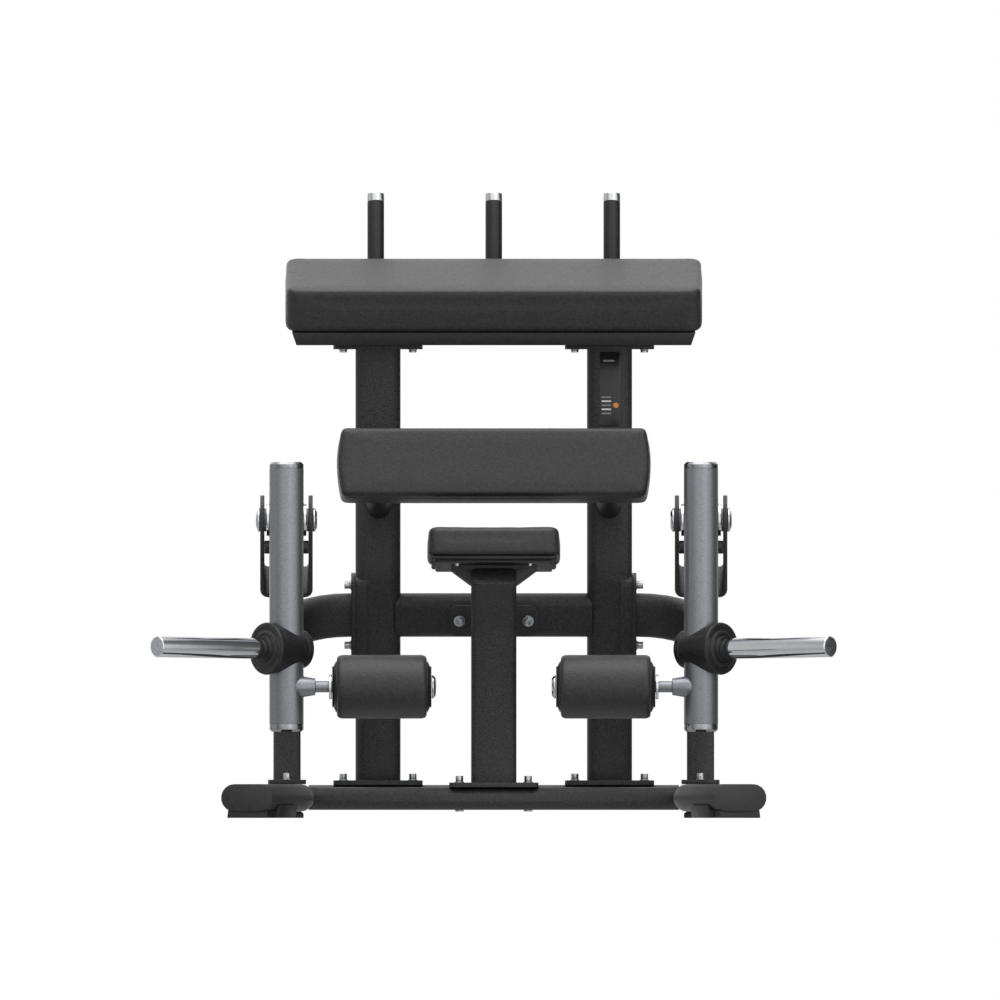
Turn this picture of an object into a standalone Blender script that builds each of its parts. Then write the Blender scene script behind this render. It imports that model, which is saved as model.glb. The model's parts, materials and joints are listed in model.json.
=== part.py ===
"""A plate-loaded kneeling leg curl machine with two arms that turn on their own.

The user kneels on the small knee pad, leans the thighs on the middle pad and the forearms on the
sloping upper pad, and lifts each ankle roller backwards and up. X runs across the machine, Z is
up, and the user is on the -Y side. The origin is on the floor, below the middle of the machine.
"""

import math

import bmesh
import bpy
from mathutils import Vector

# ---------------------------------------------------------------- driving dimensions, in metres
GAP = 0.0003  # left between pieces that touch
SIDES = (("left", -1), ("right", 1))

OVAL_WIDE, OVAL_THIN, OVAL_WALL = 0.100, 0.050, 0.003  # the flat-oval frame tube
PLATE = 0.010  # flange thickness

FOOT_WIDTH, FOOT_HEIGHT = 0.120, 0.0605
FOOT_X, FOOT_SPLAY = 0.458, math.radians(18.8)
FOOT_BOTTOM = 0.014
FOOT_REAR_Y, FOOT_BEND_Y, FOOT_FRONT_Y = 0.505, -0.294, -0.5522
FOOT_BEND_RADIUS = 0.200

REAR_CROSS_Y, REAR_CROSS_TOP = 0.387, 0.0726
FRONT_CROSS_Y, FRONT_CROSS_TOP = 0.033, 0.0677

COLUMN_X = 0.2564
RAKE = math.radians(20)  # lower part of the columns, crossbar and side tubes
COLUMN_BEND_Z = 0.540
COLUMN_LEAN_BACK = math.radians(5)
COLUMN_TOP_Z = 1.048
FLANGE_WIDTH, FLANGE_DEPTH = 0.1974, 0.110
CROSSBAR_Z = 0.4493

ARM_X, ARM_Y = 0.4592, -0.220
ARM_RADIUS, ARM_WALL = 0.038, 0.004
ARM_BOTTOM_Z, ARM_TOP_Z = 0.208, 0.774
ARM_CAP_TOP, ARM_CAP_BOTTOM = 0.014, 0.017
PIVOT_Y, PIVOT_Z = -0.145, 0.660
AXLE_RADIUS = 0.0125
HOUSING_RADIUS, HOUSING_HALF = 0.0365, 0.0385

BRACKET_TILT = math.radians(28)
BRACKET_HALF, BRACKET_PLATE = 0.058, 0.0091
BRACKET_DEPTH, BRACKET_REACH = 0.130, 0.151
STOP_Z, STOP_RADIUS = 0.5996, 0.0145

HORN_Z, HORN_RADIUS = 0.374, 0.0235
HORN_SPLAY = math.radians(39.3)  # turned from straight out towards the user
HORN_RISE = math.radians(0.8)
HORN_TIP = 0.3715  # from the arm's centre line

ROLLER_Z, ROLLER_AHEAD = 0.2903, 0.008
ROLLER_RADIUS, ROLLER_CORE_RADIUS = 0.0705, 0.037
ROLLER_OUTER_X, ROLLER_INNER_X = 0.349, 0.147

KNEE_TILT = math.radians(6)
KNEE_WIDTH, KNEE_DEPTH, KNEE_THICK = 0.2944, 0.240, 0.063
KNEE_CENTRE = Vector((0, -0.095, 0.6335))  # middle of the top face

THIGH_TILT = math.radians(13)
THIGH_WIDTH, THIGH_HEIGHT, THIGH_THICK = 0.6952, 0.161, 0.082
THIGH_CENTRE = Vector((0, -0.077, 0.7893))  # middle of the front face

UPPER_TILT = math.radians(16.2)
UPPER_WIDTH, UPPER_DEPTH, UPPER_THICK = 0.9234, 0.268, 0.0985
UPPER_FRONT_EDGE = Vector((0, 0.109, 1.168))  # top edge on the user's side
UPPER_BOARD = 0.028

GRIP_X = 0.2614
GRIP_RADIUS, GRIP_CORE_RADIUS = 0.0185, 0.014
GRIP_FOOT = Vector((0, 0.519, 1.118))
GRIP_TOP_Z, GRIP_CAP = 1.383, 0.018
GRIP_LEAN = math.radians(8.2)

X_AXIS, Y_AXIS, Z_AXIS = Vector((1, 0, 0)), Vector((0, 1, 0)), Vector((0, 0, 1))
RAKE_UP = Vector((0, -math.sin(RAKE), math.cos(RAKE)))
RAKE_FORWARD = Vector((0, -math.cos(RAKE), -math.sin(RAKE)))

FINISHES = {
    "black_powder_coat": ((0.030, 0.030, 0.031), 0.0, 0.50),
    "grey_powder_coat": ((0.200, 0.205, 0.220), 0.35, 0.42),
    "chrome": ((0.80, 0.80, 0.82), 1.0, 0.10),
    "black_rubber": ((0.020, 0.020, 0.020), 0.0, 0.70),
    "black_plastic": ((0.028, 0.028, 0.029), 0.0, 0.45),
    "black_vinyl": ((0.045, 0.045, 0.046), 0.0, 0.55),
    "pad_board": ((0.030, 0.030, 0.030), 0.0, 0.60),
    "label": ((0.020, 0.020, 0.022), 0.0, 0.35),
}


# ---------------------------------------------------------------- helpers
def clear_scene():
    for obj in list(bpy.data.objects):
        bpy.data.objects.remove(obj, do_unlink=True)


def finish(name):
    material = bpy.data.materials.get(name)
    if material:
        return material
    colour, metallic, roughness = FINISHES[name]
    material = bpy.data.materials.new(name)
    material.use_nodes = True
    shader = material.node_tree.nodes["Principled BSDF"]
    shader.inputs["Base Color"].default_value = (*colour, 1)
    shader.inputs["Metallic"].default_value = metallic
    shader.inputs["Roughness"].default_value = roughness
    return material


def solid(name, vertices, faces, material):
    """An object from points and faces, with its faces turned outwards."""
    mesh = bpy.data.meshes.new(name)
    mesh.from_pydata([tuple(v) for v in vertices], [], faces)
    work = bmesh.new()
    work.from_mesh(mesh)
    bmesh.ops.recalc_face_normals(work, faces=work.faces)
    work.to_mesh(mesh)
    work.free()
    mesh.shade_smooth()
    mesh.set_sharp_from_angle(angle=math.radians(32))
    mesh.materials.append(finish(material))
    obj = bpy.data.objects.new(name, mesh)
    bpy.context.collection.objects.link(obj)
    return obj


def oval(width, height, steps=9):
    """Outline of a flat-oval tube: two straight sides and two half circles."""
    radius = min(width, height) / 2
    straight = abs(width - height) / 2
    points = []
    for end in (1, -1):
        for i in range(steps + 1):
            turn = math.pi * i / steps - math.pi / 2
            points.append((end * (straight + radius * math.cos(turn)), end * radius * math.sin(turn)))
    return points if width > height else [(-v, u) for u, v in points]


def oval_bore(steps=4):
    """Inside of the frame tube, upright."""
    return oval(OVAL_THIN - 2 * OVAL_WALL, OVAL_WIDE - 2 * OVAL_WALL, steps)


def rounded_box(width, height, radius, steps=2):
    """Outline of a rectangle with round corners."""
    points = []
    for quarter, (su, sv) in enumerate(((1, 1), (-1, 1), (-1, -1), (1, -1))):
        cu, cv = su * (width / 2 - radius), sv * (height / 2 - radius)
        for i in range(steps + 1):
            turn = math.pi / 2 * (quarter + i / steps)
            points.append((cu + radius * math.cos(turn), cv + radius * math.sin(turn)))
    return points


def fillet(points, radius, steps=4):
    """The path through these points, with an arc in place of each inner corner."""
    path = [points[0]]
    for before, corner, after in zip(points, points[1:], points[2:]):
        back, ahead = (before - corner).normalized(), (after - corner).normalized()
        half = back.angle(ahead) / 2
        run = radius / math.tan(half)
        centre = corner + (back + ahead).normalized() * (radius / math.sin(half))
        first, last = corner + back * run - centre, corner + ahead * run - centre
        sweep_angle = first.angle(last)
        for i in range(steps + 1):
            share = i / steps
            turned_to = (
                first * math.sin((1 - share) * sweep_angle) + last * math.sin(share * sweep_angle)
            ) / math.sin(sweep_angle)
            path.append(centre + turned_to)
    path.append(points[-1])
    return path


def sweep(name, outline, path, fixed, material):
    """The outline carried along a flat path: v stays along `fixed`, u turns with the path."""
    vertices = []
    for i, point in enumerate(path):
        back = (point - path[max(i - 1, 0)]).normalized()
        ahead = (path[min(i + 1, len(path) - 1)] - point).normalized()
        along = (back + ahead).normalized()
        stretch = 1 / max(along.dot(ahead if ahead.length else back), 0.5)
        side = along.cross(fixed).normalized() * stretch
        vertices += [point + side * u + fixed * v for u, v in outline]
    count = len(outline)
    faces = [tuple(range(count)), tuple(range(len(vertices) - count, len(vertices)))]
    for ring in range(len(path) - 1):
        for i in range(count):
            a, b = ring * count + i, ring * count + (i + 1) % count
            faces.append((a, b, b + count, a + count))
    return solid(name, vertices, faces, material)


def turned(name, profile, origin, direction, material, steps=24, ring=False):
    """A turned piece: profile points are (distance along the axis, radius)."""
    spin = direction.to_track_quat("Z", "Y").to_matrix()
    vertices, rows = [], []
    for along, radius in profile:
        if radius == 0:
            rows.append([len(vertices)])
            vertices.append(origin + spin @ Vector((0, 0, along)))
            continue
        rows.append(list(range(len(vertices), len(vertices) + steps)))
        for i in range(steps):
            turn = 2 * math.pi * i / steps
            vertices.append(origin + spin @ Vector((radius * math.cos(turn), radius * math.sin(turn), along)))
    pairs = list(zip(rows, rows[1:]))
    if ring:
        pairs.append((rows[-1], rows[0]))
    faces = []
    for low, high in pairs:
        for i in range(steps):
            j = (i + 1) % steps
            corners = [low[i % len(low)], low[j % len(low)], high[j % len(high)], high[i % len(high)]]
            faces.append(tuple(dict.fromkeys(corners)))
    return solid(name, vertices, faces, material)


def rod(name, start, end, radius, material, steps=24):
    length = (end - start).length
    profile = [(0, 0), (0, radius), (length, radius), (length, 0)]
    return turned(name, profile, start, end - start, material, steps)


def prism(name, outline, start, along, u_axis, v_axis, material):
    """A flat outline pushed along a vector."""
    low = [start + u_axis * u + v_axis * v for u, v in outline]
    vertices = low + [point + along for point in low]
    count = len(outline)
    faces = [tuple(range(count)), tuple(range(count, 2 * count))]
    faces += [(i, (i + 1) % count, (i + 1) % count + count, i + count) for i in range(count)]
    return solid(name, vertices, faces, material)


def apply_modifiers(obj):
    bpy.context.view_layer.update()
    graph = bpy.context.evaluated_depsgraph_get()
    made = bpy.data.meshes.new_from_object(obj.evaluated_get(graph))
    obj.modifiers.clear()
    obj.data = made


def combine(obj, operation, *others):
    """Boolean of obj with the others, which are used up."""
    for other in others:
        step = obj.modifiers.new(operation.lower(), "BOOLEAN")
        step.operation = operation
        step.object = other
        step.solver = "EXACT"
        apply_modifiers(obj)
        bpy.data.objects.remove(other, do_unlink=True)
    obj.data.set_sharp_from_angle(angle=math.radians(32))
    return obj


def hollow(tube, outline, path, fixed, low_end=0.0, high_end=0.0):
    """Opens a tube along its path, left whole for a stretch at either end."""
    start = path[0] + (path[1] - path[0]).normalized() * (low_end or -0.02)
    end = path[-1] - (path[-1] - path[-2]).normalized() * (high_end or -0.02)
    bore = sweep("bore", outline, [start, *path[1:-1], end], fixed, "black_powder_coat")
    return combine(tube, "DIFFERENCE", bore)


def bevelled_slab(name, size, centre, axes, radius, material, segments=2):
    """A box with rounded edges, its sides along the three axes."""
    half = [0.5 * s for s in size]
    corners = [(x, y, z) for x in (-1, 1) for y in (-1, 1) for z in (-1, 1)]
    vertices = [
        centre + axes[0] * (half[0] * x) + axes[1] * (half[1] * y) + axes[2] * (half[2] * z)
        for x, y, z in corners
    ]
    faces = [(0, 1, 3, 2), (4, 5, 7, 6), (0, 1, 5, 4), (2, 3, 7, 6), (0, 2, 6, 4), (1, 3, 7, 5)]
    slab = solid(name, vertices, faces, material)
    bevel = slab.modifiers.new("bevel", "BEVEL")
    bevel.width = radius
    bevel.segments = segments
    bevel.limit_method = "NONE"
    apply_modifiers(slab)
    return slab


def flange(name, centre, width, depth, u_axis, v_axis, thick=PLATE):
    """A bolted plate with round corners, centred on its own thickness."""
    normal = u_axis.cross(v_axis).normalized()
    outline = rounded_box(width, depth, 0.014)
    start = centre - normal * (thick / 2)
    return prism(name, outline, start, normal * thick, u_axis, v_axis, "black_powder_coat")


def trim_beyond(obj, point, normal):
    """Cuts off what lies past the plane through this point."""
    axes = (X_AXIS, normal.cross(X_AXIS), normal)
    block = bevelled_slab("block", (4, 4, 0.2), point + normal * 0.1, axes, 0.001, "chrome", 1)
    combine(obj, "DIFFERENCE", block)


def at(sign, x, y, z):
    return Vector((sign * x, y, z))


# ---------------------------------------------------------------- base
def foot_path(sign):
    """Centre line of a foot tube: straight at the back, turned outwards at the front."""
    z = FOOT_BOTTOM + FOOT_HEIGHT / 2
    run = FOOT_BEND_Y - FOOT_FRONT_Y
    rear = at(sign, FOOT_X, FOOT_REAR_Y, z)
    corner = at(sign, FOOT_X, FOOT_BEND_Y, z)
    front = at(sign, FOOT_X + run * math.tan(FOOT_SPLAY), FOOT_FRONT_Y, z)
    return fillet([rear, corner, front], FOOT_BEND_RADIUS)


def foot_direction(sign):
    return Vector((sign * math.sin(FOOT_SPLAY), -math.cos(FOOT_SPLAY), 0))


def foot_cutter(sign):
    outline = oval(FOOT_WIDTH + 2 * GAP, FOOT_HEIGHT + 2 * GAP)
    return sweep("foot_cutter", outline, foot_path(sign), Z_AXIS, "black_powder_coat")


def make_foot(side, sign):
    wall = 0.004
    path = foot_path(sign)
    tube = sweep(f"{side}_foot_tube", oval(FOOT_WIDTH, FOOT_HEIGHT), path, Z_AXIS, "black_powder_coat")
    bore_path = [path[0] + Y_AXIS * 0.01] + path[1:-1] + [path[-1] + foot_direction(sign) * 0.01]
    bore_outline = oval(FOOT_WIDTH - 2 * wall, FOOT_HEIGHT - 2 * wall)
    combine(tube, "DIFFERENCE", sweep("bore", bore_outline, bore_path, Z_AXIS, "black_powder_coat"))
    ahead = foot_direction(sign)
    lip, plug = 0.004, 0.020
    outer = path[-1] + ahead * GAP
    cap_path = [outer, outer + ahead * lip]
    cap = sweep(f"{side}_foot_cap", oval(FOOT_WIDTH, FOOT_HEIGHT), cap_path, Z_AXIS, "black_plastic")
    inner_size = 2 * (wall + GAP)
    spigot_outline = oval(FOOT_WIDTH - inner_size, FOOT_HEIGHT - inner_size)
    spigot_path = [outer - ahead * plug, outer + ahead * lip / 2]
    combine(cap, "UNION", sweep("spigot", spigot_outline, spigot_path, Z_AXIS, "black_plastic"))


def make_shoes(side, sign):
    """Rubber under a foot: a long shoe at the front with a lip inside, a short pad at the back."""
    length, half, lip_top = 0.166, 0.047, 0.0277
    ahead = foot_direction(sign)
    end = foot_path(sign)[-1]
    end.z = 0
    across = ahead.cross(Z_AXIS) * sign
    shoe_outline = [(-half, 0), (half, 0), (half - 0.002, 0.017), (0.002 - half, 0.017)]
    shoe = prism(f"{side}_front_shoe", shoe_outline, end, ahead * -length, across, Z_AXIS, "black_rubber")
    lip_outline = [(0.030, 0.0001), (0.057, 0.0001), (0.060, lip_top), (0.030, lip_top)]
    lip_start = end - ahead * 0.050
    lip = prism("lip", lip_outline, lip_start, ahead * (0.0501 - length), across, Z_AXIS, "black_rubber")
    combine(shoe, "UNION", lip)
    combine(shoe, "DIFFERENCE", foot_cutter(sign))
    pad_half, pad_top = 0.0366, FOOT_BOTTOM - GAP
    pad_outline = [(-pad_half, 0), (pad_half, 0), (pad_half, 0.009), (pad_half - 0.005, pad_top)]
    pad_outline += [(0.005 - pad_half, pad_top), (-pad_half, 0.009)]
    start = at(sign, FOOT_X, FOOT_REAR_Y - 0.020, 0)
    prism(f"{side}_rear_pad", pad_outline, start, Y_AXIS * -0.140, X_AXIS, Z_AXIS, "black_rubber")


def make_cross_tube(name, y, top):
    z = top - OVAL_THIN / 2
    reach = FOOT_X - FOOT_WIDTH / 2 + 0.012
    path = [Vector((-reach, y, z)), Vector((reach, y, z))]
    tube = sweep(name, oval(OVAL_WIDE, OVAL_THIN), path, Z_AXIS, "black_powder_coat")
    bore = oval(OVAL_WIDE - 2 * OVAL_WALL, OVAL_THIN - 2 * OVAL_WALL, 4)
    hollow(tube, bore, path, Z_AXIS)
    combine(tube, "DIFFERENCE", foot_cutter(-1), foot_cutter(1))


# ---------------------------------------------------------------- columns and what they carry
def column_path(sign):
    base_z = REAR_CROSS_TOP + PLATE / 2
    bend_y = REAR_CROSS_Y - (COLUMN_BEND_Z - base_z) * math.tan(RAKE)
    top_z = COLUMN_TOP_Z - PLATE / 2
    top_y = bend_y + (top_z - COLUMN_BEND_Z) * math.tan(COLUMN_LEAN_BACK)
    base = at(sign, COLUMN_X, REAR_CROSS_Y, base_z)
    bend = at(sign, COLUMN_X, bend_y, COLUMN_BEND_Z)
    return fillet([base, bend, at(sign, COLUMN_X, top_y, top_z)], 0.150)


def column_cutter(sign):
    outline = oval(OVAL_THIN + 2 * GAP, OVAL_WIDE + 2 * GAP)
    return sweep("column_cutter", outline, column_path(sign), X_AXIS, "black_powder_coat")


def rake_point(z):
    """The columns' centre line, in the YZ plane, at this height of the lower part."""
    base_z = REAR_CROSS_TOP + PLATE / 2
    return Vector((0, REAR_CROSS_Y - (z - base_z) * math.tan(RAKE), z))


def make_column(side, sign):
    path = column_path(sign)
    column = sweep(f"{side}_column", oval(OVAL_THIN, OVAL_WIDE), path, X_AXIS, "black_powder_coat")
    foot = flange("foot", path[0] + Z_AXIS * GAP, FLANGE_WIDTH, FLANGE_DEPTH, X_AXIS, Y_AXIS)
    head = flange("head", path[-1], FLANGE_WIDTH, FLANGE_DEPTH, X_AXIS, Y_AXIS)
    seat_centre = rake_point(CROSSBAR_Z) + X_AXIS * (sign * (COLUMN_X + 0.037))
    deep, outline = X_AXIS * 0.026, rounded_box(0.062, 0.186, 0.020)
    seat_start = seat_centre - deep / 2
    seat = prism("seat", outline, seat_start, deep, RAKE_FORWARD, RAKE_UP, "black_powder_coat")
    combine(column, "UNION", foot, head, seat)
    trim_beyond(column, Z_AXIS * (REAR_CROSS_TOP + GAP), -Z_AXIS)
    hollow(column, oval_bore(), path, X_AXIS, high_end=0.012)


def make_crossbar():
    middle = rake_point(CROSSBAR_Z)
    reach = COLUMN_X - OVAL_WIDE / 2 + 0.012
    path = [middle - X_AXIS * reach, middle + X_AXIS * reach]
    bar = sweep("crossbar", oval(OVAL_THIN, OVAL_WIDE), path, RAKE_UP, "black_powder_coat")
    hollow(bar, oval_bore(), path, RAKE_UP)
    combine(bar, "DIFFERENCE", column_cutter(-1), column_cutter(1))


def side_tube_path(sign):
    """Out of the column's flange, round a right angle, then forwards and down past the post."""
    middle = rake_point(CROSSBAR_Z)
    start = middle + X_AXIS * (sign * 0.3110)
    corner = middle + X_AXIS * (sign * ARM_X)
    return fillet([start, corner, corner + RAKE_FORWARD * 0.296], 0.140, 7)


def side_tube_cutter(sign):
    outline = oval(OVAL_THIN + 2 * GAP, OVAL_WIDE + 2 * GAP)
    return sweep("side_cutter", outline, side_tube_path(sign), RAKE_UP, "black_powder_coat")


def make_side_tube(side, sign):
    path = side_tube_path(sign)
    tube = sweep(f"{side}_side_tube", oval(OVAL_THIN, OVAL_WIDE), path, RAKE_UP, "black_powder_coat")
    plate = flange("plate", path[0] + X_AXIS * (sign * GAP), 0.062, 0.186, RAKE_FORWARD, RAKE_UP, 0.009)
    combine(tube, "UNION", plate)
    hollow(tube, oval_bore(), path, RAKE_UP, low_end=0.008)


def make_side_post(side, sign):
    base = at(sign, FOOT_X, 0.134, 0.0795)
    lean = math.radians(7.2)
    top = base + Vector((0, -math.sin(lean), math.cos(lean))) * 0.310
    outline = rounded_box(0.060, 0.060, 0.010)
    post = sweep(f"{side}_side_post", outline, [base, top], X_AXIS, "black_powder_coat")
    combine(post, "UNION", flange("plate", base, 0.084, 0.120, X_AXIS, Y_AXIS, 0.0094))
    hollow(post, rounded_box(0.054, 0.054, 0.007), [base, top], X_AXIS)
    combine(post, "DIFFERENCE", side_tube_cutter(sign))


# ---------------------------------------------------------------- pivots
BRACKET_UP = Vector((0, -math.sin(BRACKET_TILT), math.cos(BRACKET_TILT)))
BRACKET_AHEAD = Vector((0, -math.cos(BRACKET_TILT), -math.sin(BRACKET_TILT)))


def bracket_blank(pivot):
    """Side view of the bracket, wide at the web and round at the pivot, as a solid block."""
    nose = 0.0546
    half = BRACKET_DEPTH / 2
    bottom = BRACKET_REACH + BRACKET_PLATE
    outline = [(-half, -bottom), (half, -bottom)]
    outline += [(nose * math.cos(math.pi * i / 10), nose * math.sin(math.pi * i / 10)) for i in range(11)]
    start = pivot - X_AXIS * 0.1
    return prism("blank", outline, start, X_AXIS * 0.2, BRACKET_AHEAD, BRACKET_UP, "black_powder_coat")


def bracket_profile():
    """The bent strip seen from the front: two legs and a web with round corners."""
    outer, inner = 0.018, 0.009
    bottom, web = -BRACKET_REACH - BRACKET_PLATE, -BRACKET_REACH
    leg, inside = BRACKET_HALF, BRACKET_HALF - BRACKET_PLATE
    points = [(-leg, 0.1)]
    quarters = [math.pi / 2 * i / 4 for i in range(5)]
    points += [(outer - leg - outer * math.cos(q), bottom + outer - outer * math.sin(q)) for q in quarters]
    points += [(leg - outer + outer * math.sin(q), bottom + outer - outer * math.cos(q)) for q in quarters]
    points += [(leg, 0.1), (inside, 0.1)]
    points += [(inside - inner + inner * math.cos(q), web + inner - inner * math.sin(q)) for q in quarters]
    points += [(inner - inside - inner * math.sin(q), web + inner - inner * math.cos(q)) for q in quarters]
    points.append((-inside, 0.1))
    return points


def make_bracket(side, sign):
    pivot = at(sign, ARM_X, PIVOT_Y, PIVOT_Z)
    start = pivot - BRACKET_AHEAD * 0.1
    along = BRACKET_AHEAD * 0.2
    name = f"{side}_pivot_bracket"
    bracket = prism(name, bracket_profile(), start, along, X_AXIS, BRACKET_UP, "black_powder_coat")
    combine(bracket, "INTERSECT", bracket_blank(pivot))
    hole = rod("hole", pivot - X_AXIS * 0.1, pivot + X_AXIS * 0.1, AXLE_RADIUS + 0.0004, "chrome")
    combine(bracket, "DIFFERENCE", hole)
    riser_top = pivot - BRACKET_UP * (BRACKET_REACH + BRACKET_PLATE / 2)
    riser_path = [riser_top, riser_top - BRACKET_UP * 0.150]
    riser = sweep("riser", rounded_box(0.060, 0.050, 0.010), riser_path, X_AXIS, "black_powder_coat")
    combine(riser, "DIFFERENCE", side_tube_cutter(sign))
    combine(bracket, "UNION", riser)


def make_pivot_axle(side, sign):
    """A pin through bracket and housing, with a domed head on each end."""
    pivot = at(sign, ARM_X, PIVOT_Y, PIVOT_Z)
    head, rim = BRACKET_HALF + GAP, 0.0265
    dome = [(head, AXLE_RADIUS), (head, rim), (head + 0.005, rim), (head + 0.0095, 0.019), (head + 0.0105, 0)]
    profile = [(-along, radius) for along, radius in reversed(dome)] + dome
    turned(f"{side}_pivot_axle", profile, pivot, X_AXIS, "chrome")


def make_stop(side, sign):
    """Rubber sleeve on a bolt across the bracket: the arm rests on it."""
    y = ARM_Y + ARM_RADIUS + STOP_RADIUS + GAP
    half = BRACKET_HALF - BRACKET_PLATE - GAP
    centre = at(sign, ARM_X, y, STOP_Z)
    rod(f"{side}_arm_stop", centre - X_AXIS * half, centre + X_AXIS * half, STOP_RADIUS, "black_rubber")


# ---------------------------------------------------------------- arms
def arm_point(sign, z):
    return at(sign, ARM_X, ARM_Y, z)


def horn_direction(sign):
    flat = math.cos(HORN_RISE)
    return Vector((sign * math.cos(HORN_SPLAY) * flat, -math.sin(HORN_SPLAY) * flat, math.sin(HORN_RISE)))


def arm_cutter(sign):
    radius = ARM_RADIUS + GAP * 1.5
    return rod("arm_cutter", arm_point(sign, 0.15), arm_point(sign, 0.80), radius, "chrome", 32)


def make_arm(side, sign):
    """The tube, the pivot housing behind it and the rib between them, welded into one."""
    low, high = arm_point(sign, ARM_BOTTOM_Z), arm_point(sign, ARM_TOP_Z)
    arm = rod(f"{side}_arm_tube", low, high, ARM_RADIUS, "grey_powder_coat", 32)
    pivot = at(sign, ARM_X, PIVOT_Y, PIVOT_Z)
    half = X_AXIS * HOUSING_HALF
    housing = rod("housing", pivot - half, pivot + half, HOUSING_RADIUS, "black_powder_coat", 28)
    rib_outline = [(0.012, -0.062), (0.075, -0.026), (0.075, 0.026), (0.012, 0.062)]
    rib_start = arm_point(sign, PIVOT_Z) + X_AXIS * -0.008
    rib = prism("rib", rib_outline, rib_start, X_AXIS * 0.016, Y_AXIS, Z_AXIS, "black_powder_coat")
    combine(arm, "UNION", housing, rib)
    bore = rod("bore", low - Z_AXIS * 0.01, high + Z_AXIS * 0.01, ARM_RADIUS - ARM_WALL, "chrome", 24)
    axle_bore = rod("axle_bore", pivot - half * 1.2, pivot + half * 1.2, AXLE_RADIUS + 0.0006, "chrome")
    combine(arm, "DIFFERENCE", bore, axle_bore)


def make_arm_caps(side, sign):
    spigot = ARM_RADIUS - ARM_WALL - 3 * GAP
    for name, z, up, thick in (
        ("top_cap", ARM_TOP_Z + GAP, Z_AXIS, ARM_CAP_TOP),
        ("bottom_cap", ARM_BOTTOM_Z - GAP, -Z_AXIS, ARM_CAP_BOTTOM),
    ):
        profile = [(-0.015, 0), (-0.015, spigot), (0, spigot), (0, ARM_RADIUS)]
        profile += [(thick - 0.004, ARM_RADIUS), (thick, ARM_RADIUS - 0.004), (thick, 0)]
        turned(f"{side}_arm_{name}", profile, arm_point(sign, z), up, "black_plastic", 32)


def make_horn(side, sign):
    """The weight horn and the rubber cone that the plates stop against."""
    origin, out = arm_point(sign, HORN_Z), horn_direction(sign)
    horn_profile = [(0.020, 0), (0.020, HORN_RADIUS), (HORN_TIP - 0.002, HORN_RADIUS)]
    horn_profile += [(HORN_TIP, HORN_RADIUS - 0.002), (HORN_TIP, 0)]
    horn = turned(f"{side}_weight_horn", horn_profile, origin, out, "chrome", 28)
    combine(horn, "DIFFERENCE", arm_cutter(sign))
    cone_profile = [(-0.048, 0), (-0.048, 0.0385), (-0.045, 0.042), (0.055, 0.0575), (0.059, 0.0570)]
    cone_profile += [(0.0614, 0.0540), (0.0614, 0.0400), (0.0640, 0.0360), (0.0640, 0.0300), (0.0670, 0.0270)]
    cone_profile += [(0.0670, 0)]
    cone = turned(f"{side}_horn_collar", cone_profile, origin, out, "black_rubber", 32)
    hole = rod("hole", origin, origin + out * 0.2, HORN_RADIUS + GAP * 1.5, "chrome", 28)
    combine(cone, "DIFFERENCE", arm_cutter(sign), hole)


def roller_axis(sign, x):
    return at(sign, x, ARM_Y - ROLLER_AHEAD, ROLLER_Z)


def make_roller(side, sign):
    inward = X_AXIS * -sign
    origin = roller_axis(sign, ARM_X)
    near, far = ARM_X - ROLLER_OUTER_X, ARM_X - ROLLER_INNER_X
    disc, pin_end = 0.0455, far + 0.0093
    boss, boss_end, washer = 0.024, 0.0185, 0.0275
    axle_profile = [(0, 0), (0, boss), (0.030, boss), (0.064, boss_end), (0.064, AXLE_RADIUS)]
    axle_profile += [(near - 0.016, AXLE_RADIUS), (near - 0.016, washer), (near - 0.0097, washer)]
    axle_profile += [(near - 0.0097, AXLE_RADIUS), (pin_end, AXLE_RADIUS), (pin_end, 0)]
    axle = turned(f"{side}_roller_axle", axle_profile, origin, inward, "grey_powder_coat")
    combine(axle, "DIFFERENCE", arm_cutter(sign))
    bore = AXLE_RADIUS + 0.0005
    core = ROLLER_CORE_RADIUS
    core_profile = [(near - 0.009, bore), (near - 0.009, disc), (near - 0.006, disc), (near, core)]
    core_profile += [(far, core), (far + 0.006, disc), (far + 0.009, disc), (far + 0.009, bore)]
    turned(f"{side}_roller_core", core_profile, origin, inward, "black_plastic", ring=True)
    hole, edge, soft = core + 2 * GAP, 0.009, 0.0027
    outer = ROLLER_RADIUS
    pad_profile = [(near + 0.001, hole), (near + 0.001, outer - edge), (near + 0.001 + soft, outer - soft)]
    pad_profile += [(near + edge, outer), (far - edge, outer)]
    pad_profile.append((far - 0.001 - soft, outer - soft))
    pad_profile += [(far - 0.001, outer - edge), (far - 0.001, hole)]
    turned(f"{side}_roller_pad", pad_profile, origin, inward, "black_vinyl", 32, ring=True)
    cap_start = pin_end + GAP
    cap_profile = [(cap_start, 0), (cap_start, 0.026), (cap_start + 0.005, 0.026), (cap_start + 0.0105, 0.017)]
    cap_profile += [(cap_start + 0.0115, 0)]
    turned(f"{side}_roller_cap", cap_profile, origin, inward, "chrome")


# ---------------------------------------------------------------- knee pad and its post
KNEE_UP = Vector((0, math.sin(KNEE_TILT), math.cos(KNEE_TILT)))
KNEE_BACK = Vector((0, math.cos(KNEE_TILT), -math.sin(KNEE_TILT)))
KNEE_AXES = (X_AXIS, KNEE_BACK, KNEE_UP)
KNEE_BOARD, KNEE_PLATE, KNEE_STEP = 0.009, 0.006, 0.009
POST_CORNER = 0.013
BRACE_RUN = 0.307


def post_outline(inset):
    """Outline of the post's tube, set in by a wall or out by a clearance."""
    size = (OVAL_THIN - 2 * inset, OVAL_WIDE - 2 * inset)
    return rounded_box(*size, POST_CORNER - inset, 3)


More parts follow.
